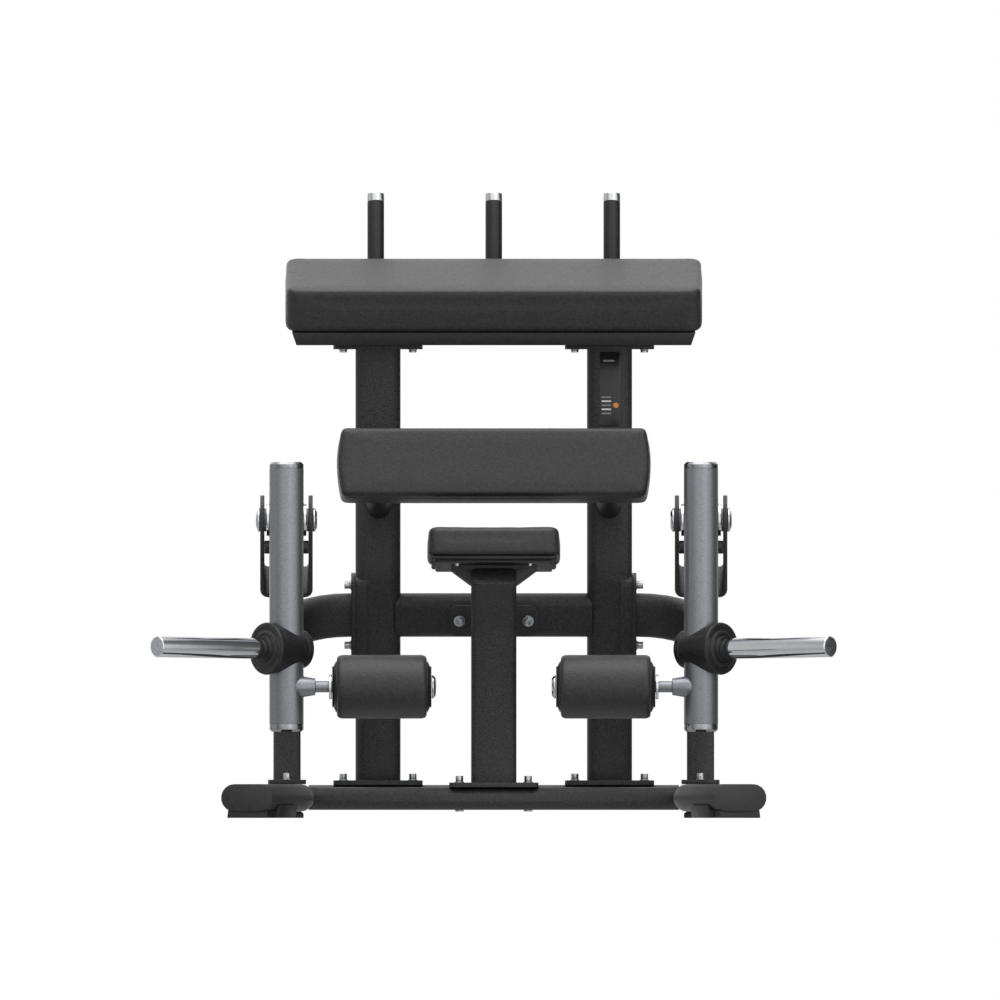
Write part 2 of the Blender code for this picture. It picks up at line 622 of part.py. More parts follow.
def seat_post_path():
    """Leans towards the user, more so above the bend, so that its plugged end faces them."""
    lean, top_lean = math.radians(17), math.radians(43.5)
    base = Vector((0, FRONT_CROSS_Y, FRONT_CROSS_TOP + PLATE / 2))
    bend_z, top_z = 0.440, 0.5355
    bend = Vector((0, base.y - (bend_z - base.z) * math.tan(lean), bend_z))
    top = Vector((0, bend.y - (top_z - bend_z) * math.tan(top_lean), top_z))
    return fillet([base, bend, top], 0.090)


def make_knee_pad():
    centre = KNEE_CENTRE - KNEE_UP * (KNEE_THICK / 2)
    size = (KNEE_WIDTH, KNEE_DEPTH, KNEE_THICK)
    bevelled_slab("knee_pad", size, centre, KNEE_AXES, 0.016, "black_vinyl", 3)
    centre = KNEE_CENTRE - KNEE_UP * (KNEE_THICK + KNEE_BOARD / 2 + GAP)
    size = (KNEE_WIDTH - 2 * KNEE_STEP, KNEE_DEPTH - 2 * KNEE_STEP, KNEE_BOARD)
    bevelled_slab("knee_pad_board", size, centre, KNEE_AXES, 0.003, "pad_board", 1)


def make_seat_post():
    """Flange, bent tube, gusset behind its end and the plate that the knee pad is screwed to."""
    path = seat_post_path()
    post = sweep("seat_post", post_outline(0), path, X_AXIS, "black_powder_coat")
    foot = flange("foot", path[0] + Z_AXIS * GAP, FLANGE_WIDTH, FLANGE_DEPTH, X_AXIS, Y_AXIS)
    plate_top = KNEE_THICK + KNEE_BOARD + 2 * GAP
    plate_centre = KNEE_CENTRE - KNEE_UP * (plate_top + KNEE_PLATE / 2)
    size = (KNEE_WIDTH - 4 * KNEE_STEP, KNEE_DEPTH - 4 * KNEE_STEP, KNEE_PLATE)
    plate = bevelled_slab("plate", size, plate_centre, KNEE_AXES, 0.002, "black_powder_coat", 1)
    low, high, drop, edge = OVAL_WIDE / 2 + 0.002, 0.0946, 0.042, 0.010
    gusset_outline = [(-low, -drop), (low, -drop), (high, -edge), (high, 0), (-high, 0), (-high, -edge)]
    start = plate_centre - KNEE_UP * (KNEE_PLATE / 3) - KNEE_BACK * 0.042
    gusset = prism("gusset", gusset_outline, start, KNEE_BACK * 0.050, X_AXIS, KNEE_UP, "black_powder_coat")
    combine(post, "UNION", foot, gusset, plate)
    trim_beyond(post, Z_AXIS * (FRONT_CROSS_TOP + GAP), -Z_AXIS)
    hollow(post, post_outline(OVAL_WALL), path, X_AXIS, high_end=0.006)


def seat_post_cutter():
    return sweep("seat_cutter", post_outline(-GAP), seat_post_path(), X_AXIS, "black_powder_coat")


def make_seat_brace():
    """Ties the knee pad's post back to the crossbar, square to the raked columns."""
    below = -0.0020
    thick = 0.008
    bar_face = rake_point(CROSSBAR_Z) + RAKE_UP * below + RAKE_FORWARD * (OVAL_THIN / 2 + GAP)
    path = [bar_face + RAKE_FORWARD * thick / 2, bar_face + RAKE_FORWARD * BRACE_RUN]
    brace = sweep("seat_brace", rounded_box(0.060, 0.060, 0.010), path, X_AXIS, "black_powder_coat")
    plate = flange("plate", bar_face + RAKE_FORWARD * thick / 2, FLANGE_WIDTH, 0.071, X_AXIS, RAKE_UP, thick)
    combine(brace, "UNION", plate)
    hollow(brace, rounded_box(0.054, 0.054, 0.007), path, X_AXIS)
    combine(brace, "DIFFERENCE", seat_post_cutter())


# ---------------------------------------------------------------- thigh pad
THIGH_OUT = Vector((0, -math.cos(THIGH_TILT), math.sin(THIGH_TILT)))
THIGH_UP = Vector((0, math.sin(THIGH_TILT), math.cos(THIGH_TILT)))
THIGH_BOARD = 0.018


def make_thigh_pad():
    axes = (X_AXIS, THIGH_OUT, THIGH_UP)
    centre = THIGH_CENTRE - THIGH_OUT * (THIGH_THICK / 2)
    size = (THIGH_WIDTH, THIGH_THICK, THIGH_HEIGHT)
    bevelled_slab("thigh_pad", size, centre, axes, 0.020, "black_vinyl", 3)
    centre = THIGH_CENTRE - THIGH_OUT * (THIGH_THICK + GAP + THIGH_BOARD / 2)
    size = (THIGH_WIDTH - 0.040, THIGH_BOARD, THIGH_HEIGHT - 0.020)
    bevelled_slab("thigh_pad_board", size, centre, axes, 0.003, "pad_board", 1)


def make_standoff(side, sign):
    """A round tube that rises from the column to a plate on the pad's back."""
    plate_thick = 0.006
    x = X_AXIS * (sign * 0.2553)
    back = THIGH_CENTRE - THIGH_OUT * (THIGH_THICK + THIGH_BOARD + 2 * GAP + plate_thick / 2)
    hit = back - THIGH_UP * 0.009 + x
    rise = Vector((0, -math.cos(RAKE), math.sin(RAKE)))
    tube = rod(f"{side}_thigh_standoff", hit - rise * 0.228, hit, 0.0265, "black_powder_coat")
    bore = rod("bore", hit - rise * 0.24, hit - rise * 0.02, 0.0235, "black_powder_coat", 16)
    combine(tube, "DIFFERENCE", column_cutter(sign), bore)
    plate = flange("plate", hit + THIGH_UP * 0.009, 0.120, 0.100, X_AXIS, THIGH_UP, plate_thick)
    combine(tube, "UNION", plate)
    trim_beyond(tube, back + THIGH_OUT * (plate_thick / 2), THIGH_OUT)


# ---------------------------------------------------------------- upper pad and handles
UPPER_UP = Vector((0, -math.sin(UPPER_TILT), math.cos(UPPER_TILT)))
UPPER_BACK = Vector((0, math.cos(UPPER_TILT), math.sin(UPPER_TILT)))
UPPER_AXES = (X_AXIS, UPPER_BACK, UPPER_UP)
GRIP_UP = Vector((0, math.sin(GRIP_LEAN), math.cos(GRIP_LEAN)))


def make_upper_pad():
    middle = UPPER_FRONT_EDGE + UPPER_BACK * (UPPER_DEPTH / 2)
    centre = middle - UPPER_UP * (UPPER_THICK / 2)
    size = (UPPER_WIDTH, UPPER_DEPTH, UPPER_THICK)
    bevelled_slab("upper_pad", size, centre, UPPER_AXES, 0.014, "black_vinyl", 3)
    inset, low, high = 0.002, 0.4370, 0.4464
    start = middle - UPPER_UP * (UPPER_THICK + GAP + UPPER_BOARD) - UPPER_BACK * (UPPER_DEPTH / 2 - inset)
    outline = [(-low, 0), (low, 0), (high, UPPER_BOARD), (-high, UPPER_BOARD)]
    along = UPPER_BACK * (UPPER_DEPTH - 2 * inset)
    prism("upper_pad_board", outline, start, along, X_AXIS, UPPER_UP, "pad_board")


def underside(y, below=0.0):
    """The board's lower face, or a face parallel to it, at this depth."""
    drop = UPPER_THICK + 2 * GAP + UPPER_BOARD + below
    edge = UPPER_FRONT_EDGE - UPPER_UP * drop
    return edge.z + (y - edge.y) * math.tan(UPPER_TILT)


def make_handle_frame():
    """Saddles on the columns, two carriers running back, a cross tube and three uprights."""
    left_end, right_end = GRIP_FOOT - X_AXIS * 0.2814, GRIP_FOOT + X_AXIS * 0.2814
    frame = rod("handle_frame", left_end, right_end, 0.021, "black_powder_coat")
    front, rear = 0.208, 0.330
    low = COLUMN_TOP_Z + GAP
    saddle_outline = [(front, low), (front, underside(front)), (rear, underside(rear)), (rear, low)]
    for _, sign in SIDES:
        start = X_AXIS * (sign * COLUMN_X - 0.040)
        saddle = prism("saddle", saddle_outline, start, X_AXIS * 0.080, Y_AXIS, Z_AXIS, "black_powder_coat")
        carrier_start = at(sign, COLUMN_X, 0.310, underside(0.310, 0.0215))
        carrier_end = at(sign, COLUMN_X, GRIP_FOOT.y, GRIP_FOOT.z)
        carrier_outline = rounded_box(0.040, 0.050, 0.008)
        carrier = sweep("carrier", carrier_outline, [carrier_start, carrier_end], X_AXIS, "black_powder_coat")
        combine(frame, "UNION", saddle, carrier)
    for x in (-GRIP_X, 0, GRIP_X):
        foot = GRIP_FOOT + X_AXIS * x
        length = (GRIP_TOP_Z - GRIP_FOOT.z - GRIP_CAP) / math.cos(GRIP_LEAN)
        upright = rod("upright", foot, foot + GRIP_UP * length, GRIP_CORE_RADIUS, "black_powder_coat")
        combine(frame, "UNION", upright)


def make_grip(name, x):
    """A rubber sleeve on an upright, and the metal cap that holds it."""
    foot = GRIP_FOOT + X_AXIS * x
    top = (GRIP_TOP_Z - GRIP_FOOT.z - GRIP_CAP) / math.cos(GRIP_LEAN)
    low, hole = 0.045, GRIP_CORE_RADIUS + 2 * GAP
    sleeve = [(low, hole), (low, GRIP_RADIUS - 0.001), (low + 0.002, GRIP_RADIUS)]
    sleeve += [(top, GRIP_RADIUS), (top, hole)]
    turned(f"{name}_grip", sleeve, foot, GRIP_UP, "black_rubber", ring=True)
    base, radius = top + GAP, GRIP_RADIUS + 0.0005
    end = base + GRIP_CAP - 0.0005
    cap = [(base, 0), (base, radius), (end - 0.002, radius), (end, radius - 0.003), (end, 0)]
    turned(f"{name}_grip_cap", cap, foot, GRIP_UP, "chrome")


def make_info_plate():
    """The blank plate on the front of the right column, above the thigh pad."""
    top = column_path(1)[-1]
    up = Vector((0, math.sin(COLUMN_LEAN_BACK), math.cos(COLUMN_LEAN_BACK)))
    out = Vector((0, -math.cos(COLUMN_LEAN_BACK), math.sin(COLUMN_LEAN_BACK)))
    centre = top - up * 0.095 + out * (OVAL_THIN / 2 + GAP) + X_AXIS * 0.001
    start = centre - up * 0.001
    prism("info_plate", rounded_box(0.046, 0.165, 0.004), start, out * 0.0008, X_AXIS, up, "label")


# ---------------------------------------------------------------- the machine
def make_machine():
    for side, sign in SIDES:
        make_foot(side, sign)
        make_shoes(side, sign)
        make_column(side, sign)
        make_side_tube(side, sign)
        make_side_post(side, sign)
        make_bracket(side, sign)
        make_pivot_axle(side, sign)
        make_stop(side, sign)
        make_arm(side, sign)
        make_arm_caps(side, sign)
        make_horn(side, sign)
        make_roller(side, sign)
        make_standoff(side, sign)
    make_cross_tube("rear_cross_tube", REAR_CROSS_Y, REAR_CROSS_TOP)
    make_cross_tube("front_cross_tube", FRONT_CROSS_Y, FRONT_CROSS_TOP)
    make_crossbar()
    make_seat_post()
    make_seat_brace()
    make_knee_pad()
    make_thigh_pad()
    make_upper_pad()
    make_handle_frame()
    for name, x in (("left", -GRIP_X), ("middle", 0), ("right", GRIP_X)):
        make_grip(name, x)
    make_info_plate()


clear_scene()
make_machine()
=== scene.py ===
# %% [markdown]
# # A kneeling leg curl machine, finished around its fixed frame
# The machine is a bolted steel frame with three padded rests and two arms that swing on their own.
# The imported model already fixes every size, so this lesson only dresses it: tubes get real paint
# grain and soft arrises, pads are inflated as cloth, and the small hardware is turned in mesh code.

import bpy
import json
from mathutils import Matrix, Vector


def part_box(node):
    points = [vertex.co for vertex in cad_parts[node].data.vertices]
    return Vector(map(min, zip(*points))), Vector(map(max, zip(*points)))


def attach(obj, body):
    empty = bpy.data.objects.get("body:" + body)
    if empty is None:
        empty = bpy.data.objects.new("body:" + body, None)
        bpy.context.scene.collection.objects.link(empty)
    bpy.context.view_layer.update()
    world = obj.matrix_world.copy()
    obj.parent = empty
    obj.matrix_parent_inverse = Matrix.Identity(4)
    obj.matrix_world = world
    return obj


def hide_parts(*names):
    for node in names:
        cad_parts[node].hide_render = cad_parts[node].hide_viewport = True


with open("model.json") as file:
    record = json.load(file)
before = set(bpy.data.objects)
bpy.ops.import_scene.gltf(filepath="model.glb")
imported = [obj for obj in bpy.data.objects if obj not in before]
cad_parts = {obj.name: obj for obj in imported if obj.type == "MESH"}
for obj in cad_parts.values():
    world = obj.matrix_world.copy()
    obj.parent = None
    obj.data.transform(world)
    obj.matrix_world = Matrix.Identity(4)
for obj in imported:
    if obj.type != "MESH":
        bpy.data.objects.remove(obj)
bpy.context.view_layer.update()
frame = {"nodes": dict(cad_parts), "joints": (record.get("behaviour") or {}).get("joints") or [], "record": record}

# %% Blender's modules and shared constants
import json
import math

import bmesh
import bpy
from mathutils import Vector

SIDES = (("left", -1), ("right", 1))
X_AXIS, Y_AXIS, Z_AXIS = Vector((1, 0, 0)), Vector((0, 1, 0)), Vector((0, 0, 1))
MM = 0.001

# %% [markdown]
# ## Reading places from the frame
# A finish or a bolt has to sit exactly on the steel below it. Instead of repeating the design's
# numbers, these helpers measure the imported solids: which body a node belongs to, which way its
# broad side faces, and how far it reaches along any direction.

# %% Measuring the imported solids
BODY_OF = {node: body for body, nodes in frame["record"]["behaviour"]["bodies"].items() for node in nodes}
JOINT_AT = {joint["name"]: Vector(joint["pos_m"]) for joint in frame["joints"]}


def facing(node, near):
    """Outward normal of the node's broadest flat side that looks roughly along `near`."""
    sides = [p for p in frame["nodes"][node].data.polygons if p.normal.dot(near) > 0.7]
    return max(sides, key=lambda p: p.area).normal.copy()


def spread(node, along):
    """Lowest and highest reach of a node along a direction."""
    reach = [v.co.dot(along) for v in frame["nodes"][node].data.vertices]
    return min(reach), max(reach)


def middle(node):
    low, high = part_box(node)
    return (low + high) / 2


def end_middle(node, along, depth=0.5 * MM):
    """Middle of the node's extreme end along a direction."""
    reach = spread(node, along)[1]
    end = [v.co for v in frame["nodes"][node].data.vertices if v.co.dot(along) > reach - depth]
    return Vector([(min(p[i] for p in end) + max(p[i] for p in end)) / 2 for i in range(3)])


print("thigh pad faces", tuple(round(v, 3) for v in facing("thigh_pad", -Y_AXIS)))

# %% [markdown]
# ## Mesh helpers
# Nearly everything here is either turned on a lathe or is a flat outline with eased rims, so two
# builders cover it: `turned` spins a profile about an axis, and `lofted` stacks copies of an
# outline, each a little smaller or larger. Corners of a profile are eased into small arcs first,
# because a perfectly sharp edge catches no light and gives a model away.

# %% Objects, smoothing and riding
def new_piece(name, points, faces, material, body, sharp=35):
    """A mesh object in the machine's frame, smooth up to `sharp` degrees, riding on a body."""
    mesh = bpy.data.meshes.new(name)
    mesh.from_pydata([tuple(p) for p in points], [], faces)
    work = bmesh.new()
    work.from_mesh(mesh)
    bmesh.ops.recalc_face_normals(work, faces=work.faces)
    work.to_mesh(mesh)
    work.free()
    mesh.shade_smooth()
    mesh.set_sharp_from_angle(angle=math.radians(sharp))
    mesh.materials.append(material)
    piece = bpy.data.objects.new(name, mesh)
    bpy.context.scene.collection.objects.link(piece)
    if body:
        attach(piece, body)
    return piece


def dressed(piece, *nodes):
    """The piece stands for these CAD nodes, which are hidden."""
    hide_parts(*nodes)
    return piece


# %% Easing the corners of a profile
def eased(points, radius, steps=3, closed=False):
    """The outline with every corner turned into a small arc, as a cutter or a mould leaves it."""
    count = len(points)
    rounded = []
    for i, point in enumerate(points):
        if not closed and i in (0, count - 1):
            rounded.append(tuple(point))
            continue
        corner = Vector(point)
        back, ahead = Vector(points[i - 1]) - corner, Vector(points[(i + 1) % count]) - corner
        if min(back.length, ahead.length) < 1e-7 or back.angle(ahead) > math.radians(172):
            rounded.append(tuple(point))
            continue
        half = back.angle(ahead) / 2
        run = min(radius / math.tan(half), 0.45 * back.length, 0.45 * ahead.length)
        start, end = corner + back.normalized() * run, corner + ahead.normalized() * run
        for step in range(steps + 1):
            share = step / steps
            blend = start.lerp(corner, share).lerp(corner.lerp(end, share), share)
            rounded.append(tuple(blend))
    return rounded


# %% Turned pieces
def turned(name, profile, origin, axis, material, body, ease=0.8 * MM, steps=64, ring=False):
    """Spins (distance along the axis, radius) points about the axis, with eased corners."""
    profile = eased(profile, ease, closed=ring)
    spin = axis.to_track_quat("Z", "Y").to_matrix()
    points, rows = [], []
    for along, radius in profile:
        on_axis = radius < 1e-6
        rows.append(list(range(len(points), len(points) + (1 if on_axis else steps))))
        for i in range(1 if on_axis else steps):
            turn = 2 * math.pi * i / steps
            points.append(origin + spin @ Vector((radius * math.cos(turn), radius * math.sin(turn), along)))
    pairs = list(zip(rows, rows[1:])) + ([(rows[-1], rows[0])] if ring else [])
    faces = []
    for low, high in pairs:
        for i in range(steps):
            j = (i + 1) % steps
            corners = (low[i % len(low)], low[j % len(low)], high[j % len(high)], high[i % len(high)])
            face = tuple(dict.fromkeys(corners))
            if len(face) > 2:
                faces.append(face)
    return new_piece(name, points, faces, material, body)


# %% Outlines that can be drawn smaller, and the loft that stacks them
def rounded_outline(width, height, radius, steps=8):
    """A rectangle with round corners; the returned function takes an inset."""

    def outline(inset):
        corner = max(radius - inset, 0.2 * MM)
        points = []
        for quarter, (su, sv) in enumerate(((1, 1), (-1, 1), (-1, -1), (1, -1))):
            cu, cv = su * (width / 2 - inset - corner), sv * (height / 2 - inset - corner)
            for i in range(steps + 1):
                turn = math.pi / 2 * (quarter + i / steps)
                points.append((cu + corner * math.cos(turn), cv + corner * math.sin(turn)))
        return points

    return outline


def polygon_outline(sides, inner_radius):
    """A regular polygon by its across-flats radius; the returned function takes an inset."""

    def outline(inset):
        radius = (inner_radius - inset) / math.cos(math.pi / sides)
        turns = [2 * math.pi * (i + 0.5) / sides for i in range(sides)]
        return [(radius * math.cos(turn), radius * math.sin(turn)) for turn in turns]

    return outline


def loft_mesh(outline, levels, place):
    """Points and faces of stacked outlines: levels are (height, inset), place maps (u, v, height)."""
    points = [place(u, v, height) for height, inset in levels for u, v in outline(inset)]
    count = len(outline(0))
    faces = [tuple(range(count)), tuple(range(len(points) - count, len(points)))]
    for level in range(len(levels) - 1):
        for i in range(count):
            a, b = level * count + i, level * count + (i + 1) % count
            faces.append((a, b, b + count, a + count))
    return points, faces


def lofted(name, outline, levels, origin, axes, material, body):
    u_axis, v_axis, w_axis = axes

    def place(u, v, height):
        return origin + u_axis * u + v_axis * v + w_axis * height

    points, faces = loft_mesh(outline, levels, place)
    return new_piece(name, points, faces, material, body)


def plate_levels(thickness, ease):
    """Levels of a plate whose two rims are eased."""
    steps = [math.pi / 2 * i / 3 for i in range(4)]
    low = [(ease * (1 - math.sin(s)), ease * (1 - math.cos(s))) for s in reversed(steps)]
    return low + [(thickness - height, inset) for height, inset in reversed(low)]


# %% [markdown]
# ## Refined copies of the steel
# The frame's solids have the right shape but come as bare facets. A refined copy welds the
# facets, merges the flat ones, and rounds each hard arris by well under a millimetre, as a tumbled
# and powder-coated part has. It also grows by the thickness of the coat, which closes the hairline
# gaps between bolted faces. The copy stands for its node, and the solid keeps its place.

# %% Weld, merge and ease a CAD solid
COAT = 0.25 * MM


def refined(node, material, arris=0.7 * MM, hard=38):
    """A copy of the node with merged flats, eased arrises and the thickness of its coat."""
    mesh = frame["nodes"][node].data.copy()
    work = bmesh.new()
    work.from_mesh(mesh)
    bmesh.ops.remove_doubles(work, verts=work.verts, dist=0.02 * MM)
    bmesh.ops.dissolve_degenerate(work, edges=work.edges, dist=0.15 * MM)
    bmesh.ops.dissolve_limit(work, angle_limit=math.radians(1), verts=work.verts, edges=work.edges)
    hard_edges = [e for e in work.edges if e.is_manifold and e.calc_face_angle() > math.radians(hard)]
    bmesh.ops.bevel(work, geom=hard_edges, offset=arris, segments=2, affect="EDGES", profile=0.5)
    bmesh.ops.recalc_face_normals(work, faces=work.faces)
    work.normal_update()
    points = [v.co + v.normal * (COAT * min(v.calc_shell_factor(), 1.5)) for v in work.verts]
    work.verts.index_update()
    faces = [tuple(v.index for v in f.verts) for f in work.faces]
    work.free()
    bpy.data.meshes.remove(mesh)
    piece = new_piece(f"{node}_finished", points, faces, material, BODY_OF[node], sharp=40)
    return dressed(piece, node)


# %% [markdown]
# ## Materials
# Each finish starts from what the part is made of and how its surface was made. Colours are
# written as the hex values a paint chart gives, and one function turns them to linear light.

# %% Colour and node helpers
def linear(hex_colour):
    """sRGB hex to linear RGBA."""
    channels = [int(hex_colour[i : i + 2], 16) / 255 for i in (1, 3, 5)]
    return (*[c / 12.92 if c <= 0.04045 else ((c + 0.055) / 1.055) ** 2.4 for c in channels], 1)


def add(tree, kind, inputs=(), **settings):
    """Adds a node with its settings; an input is a value or another node's output socket."""
    made = tree.nodes.new(kind)
    for field, value in settings.items():
        setattr(made, field, value)
    for socket, value in dict(inputs).items():
        if isinstance(value, bpy.types.NodeSocket):
            tree.links.new(value, made.inputs[socket])
        else:
            made.inputs[socket].default_value = value
    return made


def blank_material(name, roughness, metallic=0.0, **shader_values):
    """A material with its shader, and coordinates in metres that move with the piece."""
    material = bpy.data.materials.new(name)
    material.use_nodes = True
    tree = material.node_tree
    shader = tree.nodes["Principled BSDF"]
    shader.inputs["Roughness"].default_value = roughness
    shader.inputs["Metallic"].default_value = metallic
    for socket, value in shader_values.items():
        shader.inputs[socket.replace("_", " ")].default_value = value
    return material, tree, shader, add(tree, "ShaderNodeTexCoord").outputs["Object"]


def per_metre(millimetres):
    """Texture scale whose features are this many millimetres across."""
    return 1000 / millimetres


# %% Mottled colour, roughness and grain, which most of these finishes share
def grain(tree, shader, where, dark, light, patch, size, depth, rough=None):
    """Colour drifts between two shades over `patch` mm; bumps `size` mm across stand `depth` mm."""
    drift = add(tree, "ShaderNodeTexNoise", {"Vector": where, "Scale": per_metre(patch), "Detail": 3.0})
    fine = add(tree, "ShaderNodeTexNoise", {"Vector": where, "Scale": per_metre(size), "Detail": 2.0})
    both = add(tree, "ShaderNodeMath", {0: drift.outputs["Fac"], 1: fine.outputs["Fac"]}, operation="ADD")
    share = add(tree, "ShaderNodeMapRange", {"Value": both.outputs[0], "From Min": 0.85, "From Max": 1.15})
    colours = {0: share.outputs["Result"], 6: linear(dark), 7: linear(light)}
    colour = add(tree, "ShaderNodeMix", colours, data_type="RGBA")
    tree.links.new(colour.outputs[2], shader.inputs["Base Color"])
    bump = {"Height": fine.outputs["Fac"], "Distance": depth * MM, "Strength": 1.0}
    raised = add(tree, "ShaderNodeBump", bump)
    tree.links.new(raised.outputs["Normal"], shader.inputs["Normal"])
    if rough:
        low, high = rough
        levels = {"From Min": 0.3, "From Max": 0.7, "To Min": low, "To Max": high}
        varied = add(tree, "ShaderNodeMapRange", {"Value": drift.outputs["Fac"], **levels})
        tree.links.new(varied.outputs["Result"], shader.inputs["Roughness"])
    return fine


# %% [markdown]
# **Powder coat.** The frame is sprayed with dry polyester powder and baked. A fine-texture black
# dries to a satin skin of tiny rounded bumps. Real bumps are near 0.3 mm; they are drawn at 2.8 mm
# so that they still show across a room.

# %% Fine-texture black powder coat
def black_powder_coat():
    material, tree, shader, where = blank_material("baked_fine_texture_black_powder_coat", 0.5)
    grain(tree, shader, where, "#171718", "#303031", 4, 2.8, 1.1, rough=(0.40, 0.54))
    return material


POWDER_BLACK = black_powder_coat()
print("made", POWDER_BLACK.name)

# %% [markdown]
# **Metallic powder coat.** The swinging arms are grey with aluminium flake in the powder. The flake
# lifts the highlight and gives a faint sparkle, so the shader is partly metallic.

# %% Silver-grey flake powder coat
def grey_powder_coat():
    material, tree, shader, where = blank_material("baked_silver_flake_powder_coat", 0.42, metallic=0.8)
    grain(tree, shader, where, "#828489", "#8f9197", 3.5, 2.4, 0.08, rough=(0.33, 0.39))
    return material


POWDER_GREY = grey_powder_coat()
print("made", POWDER_GREY.name)

# %% [markdown]
# **Chrome plate and zinc plate.** Both are thin metal over steel. Chrome over a ground bar is a
# mirror with faint handling marks; zinc on bolts and washers is softer and a little blue.

# %% Plated steel
def plated(name, dark, light, smooth, rough, patch):
    """Bright plated steel: colour barely moves, and handling dulls it in patches."""
    material, tree, shader, where = blank_material(name, smooth, metallic=1.0)
    grain(tree, shader, where, dark, light, patch, 3, 0.0004, rough=(smooth, rough))
    return material


CHROME = plated("ground_and_chromed_steel", "#d2d4d7", "#dbdcde", 0.05, 0.09, 30)
ZINC = plated("bright_zinc_plated_steel", "#a9adb1", "#c9ccd0", 0.20, 0.34, 5)
DARK_CHROME = plated("black_chromed_turned_steel", "#8c8d90", "#9b9c9f", 0.07, 0.12, 8)
print("made", CHROME.name, ZINC.name, DARK_CHROME.name)

# %% [markdown]
# **Rubber, nylon and vinyl.** Grips, collars and shoes are moulded black rubber, dull and slightly
# dusty. Tube plugs are injection-moulded nylon, a little tighter and glossier. The pads wear
# embossed vinyl: a pebble grain pressed into a plastic skin, which lights up strongly at a glance.

# %% Moulded rubber and nylon
def moulded(name, dark, light, size, depth, rough):
    material, tree, shader, where = blank_material(name, rough[0])
    grain(tree, shader, where, dark, light, 12, size, depth, rough=rough)
    return material


RUBBER = moulded("moulded_black_rubber", "#121212", "#1d1d1d", 2.2, 0.12, (0.40, 0.55))
NYLON = moulded("moulded_black_nylon", "#1f1f20", "#282829", 2.2, 0.08, (0.42, 0.52))
BOARD = moulded("vacuum_formed_abs_back", "#181818", "#232323", 1.8, 0.12, (0.50, 0.62))
# The spacer's pale colour is painted highlight: it stands in for the bright reflection of a plated spacer that
# sits in shade between the bracket plate and the arm.
PALE_SPACER_PAINTED_HIGHLIGHT = moulded("pale_spacer_painted_highlight", "#bdbdb9", "#d2d2ce", 1.8, 0.03, (0.35, 0.45))
print("made", RUBBER.name, NYLON.name, BOARD.name, PALE_SPACER_PAINTED_HIGHLIGHT.name)

# %% Embossed vinyl upholstery
def embossed_vinyl():
    """Pebbles 3.6 mm across with creases between them, over a slow swell, on a satin plastic skin."""
    material, tree, shader, where = blank_material("embossed_black_vinyl", 0.40, Sheen_Weight=0.04)
    fine = grain(tree, shader, where, "#1b1b1b", "#252525", 9, 6, 0.3, rough=(0.36, 0.46))
    pebbles = {"Vector": where, "Scale": per_metre(3.6)}
    cells = add(tree, "ShaderNodeTexVoronoi", pebbles, feature="DISTANCE_TO_EDGE")
    crease = {"Value": cells.outputs["Distance"], "From Max": 0.18, "To Max": 0.35}
    flat_tops = add(tree, "ShaderNodeMapRange", crease)
    height = {0: flat_tops.outputs["Result"], 1: fine.outputs["Fac"]}
    together = add(tree, "ShaderNodeMath", height, operation="ADD")
    raised = add(tree, "ShaderNodeBump", {"Height": together.outputs[0], "Distance": 0.55 * MM})
    tree.links.new(raised.outputs["Normal"], shader.inputs["Normal"])
    return material


VINYL = embossed_vinyl()
print("made", VINYL.name)

# %% [markdown]
# ## Camera, studio and floor
# The machine is seen square-on through a very long lens, so an orthographic camera is right. The
# light is a white studio tent: brightest overhead, with soft boxes behind, to the front and to the
# front right, and darker gaps on the far right and low in front. Those lobes round off the tubes.

# %% The camera
VIEW_WIDTH = 2.215
camera_data = bpy.data.cameras.new("square_on_camera")
camera_data.type = "ORTHO"
camera_data.ortho_scale = VIEW_WIDTH
camera = bpy.data.objects.new("square_on_camera", camera_data)
camera.location = (0.0138, -6.0, 0.704)
camera.rotation_euler = (math.pi / 2, 0, 0)
bpy.context.scene.collection.objects.link(camera)
bpy.context.scene.camera = camera
bpy.context.scene.view_settings.view_transform = "Standard"
print("camera sees", VIEW_WIDTH, "m across")

# %% The studio tent
TENT_BASE = 0.42
TENT_LOBES = (  # direction, cosines where the lobe starts and is full, strength
    ((0.0, -0.1, 1.0), 0.70, 0.97, 2.60),
    ((-0.45, 0.40, 0.80), 0.70, 0.95, 0.20),
    ((0.0, 1.0, 0.45), 0.55, 0.95, 0.85),
    ((-1.0, 0.05, 0.10), 0.85, 0.98, 0.20),
    ((0.0, -0.90, 0.38), 0.50, 0.97, 0.72),
    ((0.70, -0.70, 0.12), 0.75, 0.97, 0.60),
    ((0.75, 0.62, 0.20), 0.35, 0.90, -0.34),
    ((0.0, -0.75, -0.60), 0.60, 0.95, -0.12),
    ((0.0, 0.0, -1.0), 0.10, 0.90, 0.20),
)


